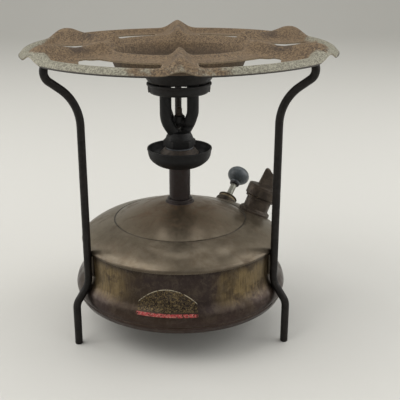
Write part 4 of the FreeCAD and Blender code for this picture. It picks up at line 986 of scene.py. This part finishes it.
def makeLegs():
    g = legs
    corners = [(g["foot"], 0), (g["foot"], g["kneeFoot"], 12), (g["reach"], g["kneeTop"], 16),
               (g["reach"], g["flare"], 38), (g["hook"] + 2.2, g["hookHeight"], 9),
               (g["hook"] - 1.5, g["arm"], 4.2), (g["tip"], g["arm"])]
    line = densified(rounded(corners, False, 22), 1.6, False)
    for label, azimuth in (("left", -60), ("right", 60), ("back", 180)):
        draw = np.random.default_rng(abs(azimuth) + 5)
        along = np.linspace(0, 1, len(line))
        waves = sum(np.sin(2 * math.pi * (n * along * 3 + draw.uniform())) for n in (1, 2, 5)) / 3
        girth = g["radius"] - 0.05 + 0.05 * waves
        path = np.stack([line[:, 0], 0 * along, line[:, 1]], 1)
        makePiece("rod_leg_" + label, [rod(path, girth, (0, 1, 0), 32, 0.8,
                                           turnAbout(azimuth + g["turn"]))], legSteel, "stove",
                  ["leg_" + label])
    fillets = []
    for azimuth in (-60, 60, 180):
        place = turnAbout(azimuth + g["turn"])
        for side in (-1, 1):
            t = np.linspace(0, 1, 26)
            z = 58 + 18 * t
            swell = 0.55 + 0.6 * np.sin(math.pi * t) ** 0.6
            path = np.stack([83.1 + 0.5 * swell, side * (2.3 + 0 * t), z], 1)
            fillets.append(rod(path, 1.15 * swell, (0, 1, 0), 16, 0.6, place))
    makePiece("leg_braze", fillets, darkBronze, "stove", ["leg_brazing"])


makeLegs()
print("stage: legs")

support = {"wall": 1.2, "mouth": 50.0, "mouthFoot": 222.0, "crest": 238.0, "plate": 235.0,
           "trough": 233.6, "rim": 238.0, "radius": 122.6, "flangeFoot": 233.3, "turn": 0.6,
           "slotInner": 79.0, "slotOuter": 112.5, "slotEnds": [113, 113, 102, 106.5, 113, 113],
           "slotRound": 2.6, "notch": 4.4}
# ridges: azimuth, width near the rim, and whether a leg's arm lies under it
ridges = [(0.6, 8.2, 0), (60.6, 10.5, 1), (120.6, 8.6, 0), (180.6, 8.4, 1), (-119.4, 8.6, 0),
          (-59.4, 10.5, 1)]


# Height of the pressing: the plain plate's line, lifted towards each ridge's
# top by exp(-(distance square to the ridge's own line / width) ^ 2).
def liftRidges(radius, azimuth, height):
    out = height.copy()
    fine = np.linspace(48, 128, 241)
    stations = np.array([52.0, 56.0, 60.5, 64.5, 67.6, 72.0, 80.0, 88.0, 97.0, 104.0, 108.0, 113.0, 117.0,
                         120.5, 122.5, 124.5])
    tops = np.array([229.0, 236.2, 242.4, 244.2, 244.5, 243.6, 241.8, 241.5, 243.2, 245.0, 245.3, 244.9,
                     243.6, 241.2, 239.0, 236.6])
    for centre, spread, overLeg in ridges:
        turn = np.radians(azimuth - centre)
        along, across = radius * np.cos(turn), radius * np.sin(turn)
        extra = np.array([0, 0, 0, 0, 0, 0, 0.2, 0.2, 0.1, 0.0, 0.1, 0.6, 1.2, 1.4, 1.2, 1.0]) * overLeg
        line = np.interp(fine, stations, tops + extra)
        line = np.convolve(np.pad(line, 6, "edge"), np.hanning(15)[1:-1] / np.hanning(15).sum(), "valid")
        top = np.interp(along, fine, line)
        width = np.interp(along, [52, 67.6, 88, 107.5, 122], [5.0, 5.8, 6.4, spread, spread * 1.1])
        bell = np.exp(-(across / width) ** 2)
        bell = np.clip((bell - 0.015) / 0.985, 0, 1) * (np.cos(turn) > 0) * np.clip((along - 52) / 5, 0, 1)
        out = np.maximum(out, height + np.maximum((top - height) * bell, 0))
    return out


def makeSupport():
    s = support
    plain = [(s["mouth"], s["mouthFoot"]), (54.4, s["crest"] - 5.0, 6), (60.5, s["crest"] + 0.5, 4.5),
             (67.5, s["crest"] - 1.9, 8), (79, s["plate"], 14), (95, s["trough"], 14),
             (s["slotOuter"], s["trough"], 5), (s["radius"] - 5.2, s["rim"] + 0.6, 3.6),
             (s["radius"] - 1.4, s["rim"] - 1.4, 4), (s["radius"] + 1.6, s["flangeFoot"])]
    line = densified(rounded(plain, False, 8), 1.6, False)
    radii = line[:, 0].copy()
    first = int(np.argmin(np.abs(radii - s["slotInner"])))
    last = int(np.argmin(np.abs(radii - s["slotOuter"])))
    rows, columns = len(line), 600
    azimuth = np.arange(columns) / columns * 360 + s["turn"]
    r, a = np.meshgrid(radii, azimuth, indexing="ij")
    z = np.repeat(line[:, 1:], columns, 1)
    # slots lie between two ridges; the column where one starts or ends
    sector = (a - s["turn"]) % 60
    place = np.floor(((a - s["turn"]) % 360) / 60 + 1e-6).astype(int)
    startGap = np.choose(place, [8.4, 11.4, 9.6, 11.4, 9.6, 11.4])
    endGap = np.choose(place, [11.4, 9.6, 11.4, 9.6, 11.4, 8.4])
    inside = (sector > startGap - 0.01) & (sector < 60 - endGap - 0.01)
    outer = np.choose(place[0], s["slotEnds"])
    # its corners are rounded, and beside a leg it reaches in under the ridge
    near = np.clip(1 - np.minimum(np.abs(radii - radii[first]),
                                  np.abs(radii - radii[last])) / s["slotRound"], 0, 1)
    draw = np.degrees(s["slotRound"] * (1 - np.sqrt(1 - near ** 2)) / radii)[:, None]
    reach = s["notch"] * np.exp(-((radii - 88.5) / 5.5) ** 4)[:, None]
    legBefore, legAfter = startGap > 11, endGap > 11
    a = a + (draw - reach * legBefore) * np.exp(-((sector - startGap) / 5.5) ** 2)
    a = a - (draw - reach * legAfter) * np.exp(-((sector - (60 - endGap)) / 5.5) ** 2)
    z = liftRidges(r, a, z)
    # crest and rim wander a little, as pressed and knocked sheet does
    draw = np.random.default_rng(21)
    wave = sum(draw.uniform(0.2,
                            1) * np.sin(n * np.radians(a) + draw.uniform(0, 6.28)) for n in range(2, 8)) / 4
    z = z + 0.3 * wave * np.clip((r - 50) / 20, 0, 1)
    points = np.stack([r * np.sin(np.radians(a)), -r * np.cos(np.radians(a)), z], -1)
    normal = np.cross(np.gradient(points, axis=0), np.roll(points, -1, 1) - np.roll(points, 1, 1))
    normal /= np.linalg.norm(normal, axis=-1, keepdims=True)
    normal = normal if normal[first, 0, 2] > 0 else -normal
    faces = gridFaces(rows, columns, False, True)
    row, column = faces[:, 0] // columns, faces[:, 0] % columns
    faces = faces[~((row >= first) & (row < last) & (radii[row] < outer[column]) & inside[row, column])]
    surface = shell(points.reshape(-1, 3), faces, normal.reshape(-1, 3), s["wall"])
    makePiece("support_pressing", [surface], supportRust, "pan_support", ["pan_support"], 50)


# A sheet given its wall: the same points moved down their normals, and rim
# faces along every edge that only one face uses.
def shell(points, faces, normals, wall):
    count = len(points)
    edges = np.concatenate([faces[:, [k, (k + 1) % 4]] for k in range(4)])
    key = np.sort(edges, 1)
    code = key[:, 0].astype(np.int64) * count + key[:, 1]
    values, index, uses = np.unique(code, return_index=True, return_counts=True)
    border = edges[index[uses == 1]]
    rims = np.stack([border[:, 1], border[:, 0], border[:, 0] + count, border[:, 1] + count], 1)
    both = np.concatenate([points, points - normals * wall]) * mm
    allFaces = np.concatenate([faces, faces[:, ::-1] + count, rims])
    used = np.unique(allFaces)
    renumber = np.zeros(2 * count, np.int64)
    renumber[used] = np.arange(len(used))
    return both[used], renumber[allFaces]


makeSupport()
print("stage: pan support")

carried = {
    "pump_barrel": darkBronze, "check_valve": brightBrass, "valve_disc": cork, "valve_holder": brightBrass,
    "piston_nut": brightBrass, "piston_washer": brightBrass, "piston_leather": leather,
    "piston_plate": brightBrass, "burner_gasket": leadGrey, "filler_gasket": leadGrey,
}
for label, finish in carried.items():
    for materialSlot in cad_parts[label].material_slots:
        materialSlot.material = finish
print("stage: carried-over nodes")

stage = {"floor": srgb(200, 199, 195), "wall": srgb(246, 245, 240), "world": srgb(214, 213, 208),
         "worldStrength": 0.66, "lens": 66.24, "sensor": 36, "shift": 0.0549, "eye": (0, -0.5875, 0.3145),
         "pitch": 70.6, "roll": 0.44}


# Floor that sweeps up behind: z = the quarter circle past y0, flat before it.
def makeFloor():
    t = np.linspace(0, 1, 60)
    across = np.linspace(-4, 4, 9)
    flatPart = t < 0.5
    y = np.where(flatPart, -3 + t * 2 * 5.0, 2.0 + 1.2 * np.sin((t - 0.5) * math.pi))
    z = np.where(flatPart, 0, 1.2 * (1 - np.cos((t - 0.5) * math.pi)))
    y = np.append(y, 3.2)
    z = np.append(z, 5.0)
    points = np.stack(np.meshgrid(across, np.arange(len(y)), indexing="ij"), -1)
    points = np.stack([points[..., 0], y[points[..., 1].astype(int)], z[points[..., 1].astype(int)]],
                      -1).reshape(-1, 3)
    faces = gridFaces(9, len(y), False, False)
    mesh = bpy.data.meshes.new("floor")
    mesh.from_pydata(points.tolist(), [], faces.tolist())
    mesh.shade_smooth()
    material, tree, shader, coords = newMaterial("floor_paper")
    cloud = useGroup(tree, clouds, {"Vector": coords, "Scale": 3.0, "Low": 0.3, "High": 0.7})["Mask"]
    fine = noise(tree, coords, 220.0, 4.0, 0.6)
    height = node(tree, "SeparateXYZ", {0: coords}).outputs[2]
    # Painted light: the paper brightens up the sweep, from the floor colour to the wall colour.
    paperLighterUp = blended(tree, smoothed(tree, height, 0.0, 1.0), stage["floor"], stage["wall"])
    colour = blended(tree, product(tree, cloud, 0.25), paperLighterUp, srgb(200, 199, 193))
    feed(tree, shader, "Base Color", colour)
    feed(tree, shader, "Roughness", total(tree, 0.75, product(tree, fine, 0.15)))
    addBump(tree, shader, fine, 0.1)
    mesh.materials.append(material)
    floor = bpy.data.objects.new("floor", mesh)
    bpy.context.scene.collection.objects.link(floor)


def addArea(name, place, aim, size, power, colour):
    data = bpy.data.lights.new(name, "AREA")
    data.shape = "RECTANGLE"
    data.size, data.size_y = size
    data.energy = power
    data.color = colour
    lamp = bpy.data.objects.new(name, data)
    lamp.location = place
    lamp.rotation_euler = (Vector(aim) - Vector(place)).to_track_quat("-Z", "Y").to_euler()
    bpy.context.scene.collection.objects.link(lamp)


def makeWorld():
    world = bpy.data.worlds.new("studio")
    world.use_nodes = True
    background = world.node_tree.nodes["Background"]
    background.inputs[0].default_value = stage["world"]
    background.inputs[1].default_value = stage["worldStrength"]
    bpy.context.scene.world = world


def makeCamera():
    data = bpy.data.cameras.new("camera")
    data.sensor_width = stage["sensor"]
    data.lens = stage["lens"]
    data.shift_x = stage["shift"]
    camera = bpy.data.objects.new("camera", data)
    camera.location = stage["eye"]
    camera.rotation_euler = (math.radians(stage["pitch"]), math.radians(stage["roll"]), 0)
    bpy.context.scene.collection.objects.link(camera)
    bpy.context.scene.camera = camera


# lights: name, place, aim, size, watts, colour
lights = [
    ("key", (-1.1, -0.7, 1.9), (0, 0, 0.1), (1.4, 1.4), 19, (1, 0.985, 0.96)),
    ("fill", (1.4, -0.9, 1.3), (0, 0, 0.12), (1.6, 1.6), 8, (0.96, 0.98, 1)),
    ("top", (0.1, 0.6, 2.1), (0, 0, 0.1), (1.8, 1.2), 12, (1, 1, 1)),
    ("leftPanel", (-1.3, 0.15, 0.75), (0, 0, 0.1), (1.1, 1.3), 9, (1, 0.99, 0.97)),
    ("rightPanel", (1.3, 0.15, 0.75), (0, 0, 0.1), (1.1, 1.3), 9, (1, 0.99, 0.97)),
]
makeFloor()
makeWorld()
for light in lights:
    addArea(*light)
makeCamera()
bpy.context.scene.view_settings.view_transform = "Standard"
print("stage: floor, light, camera")
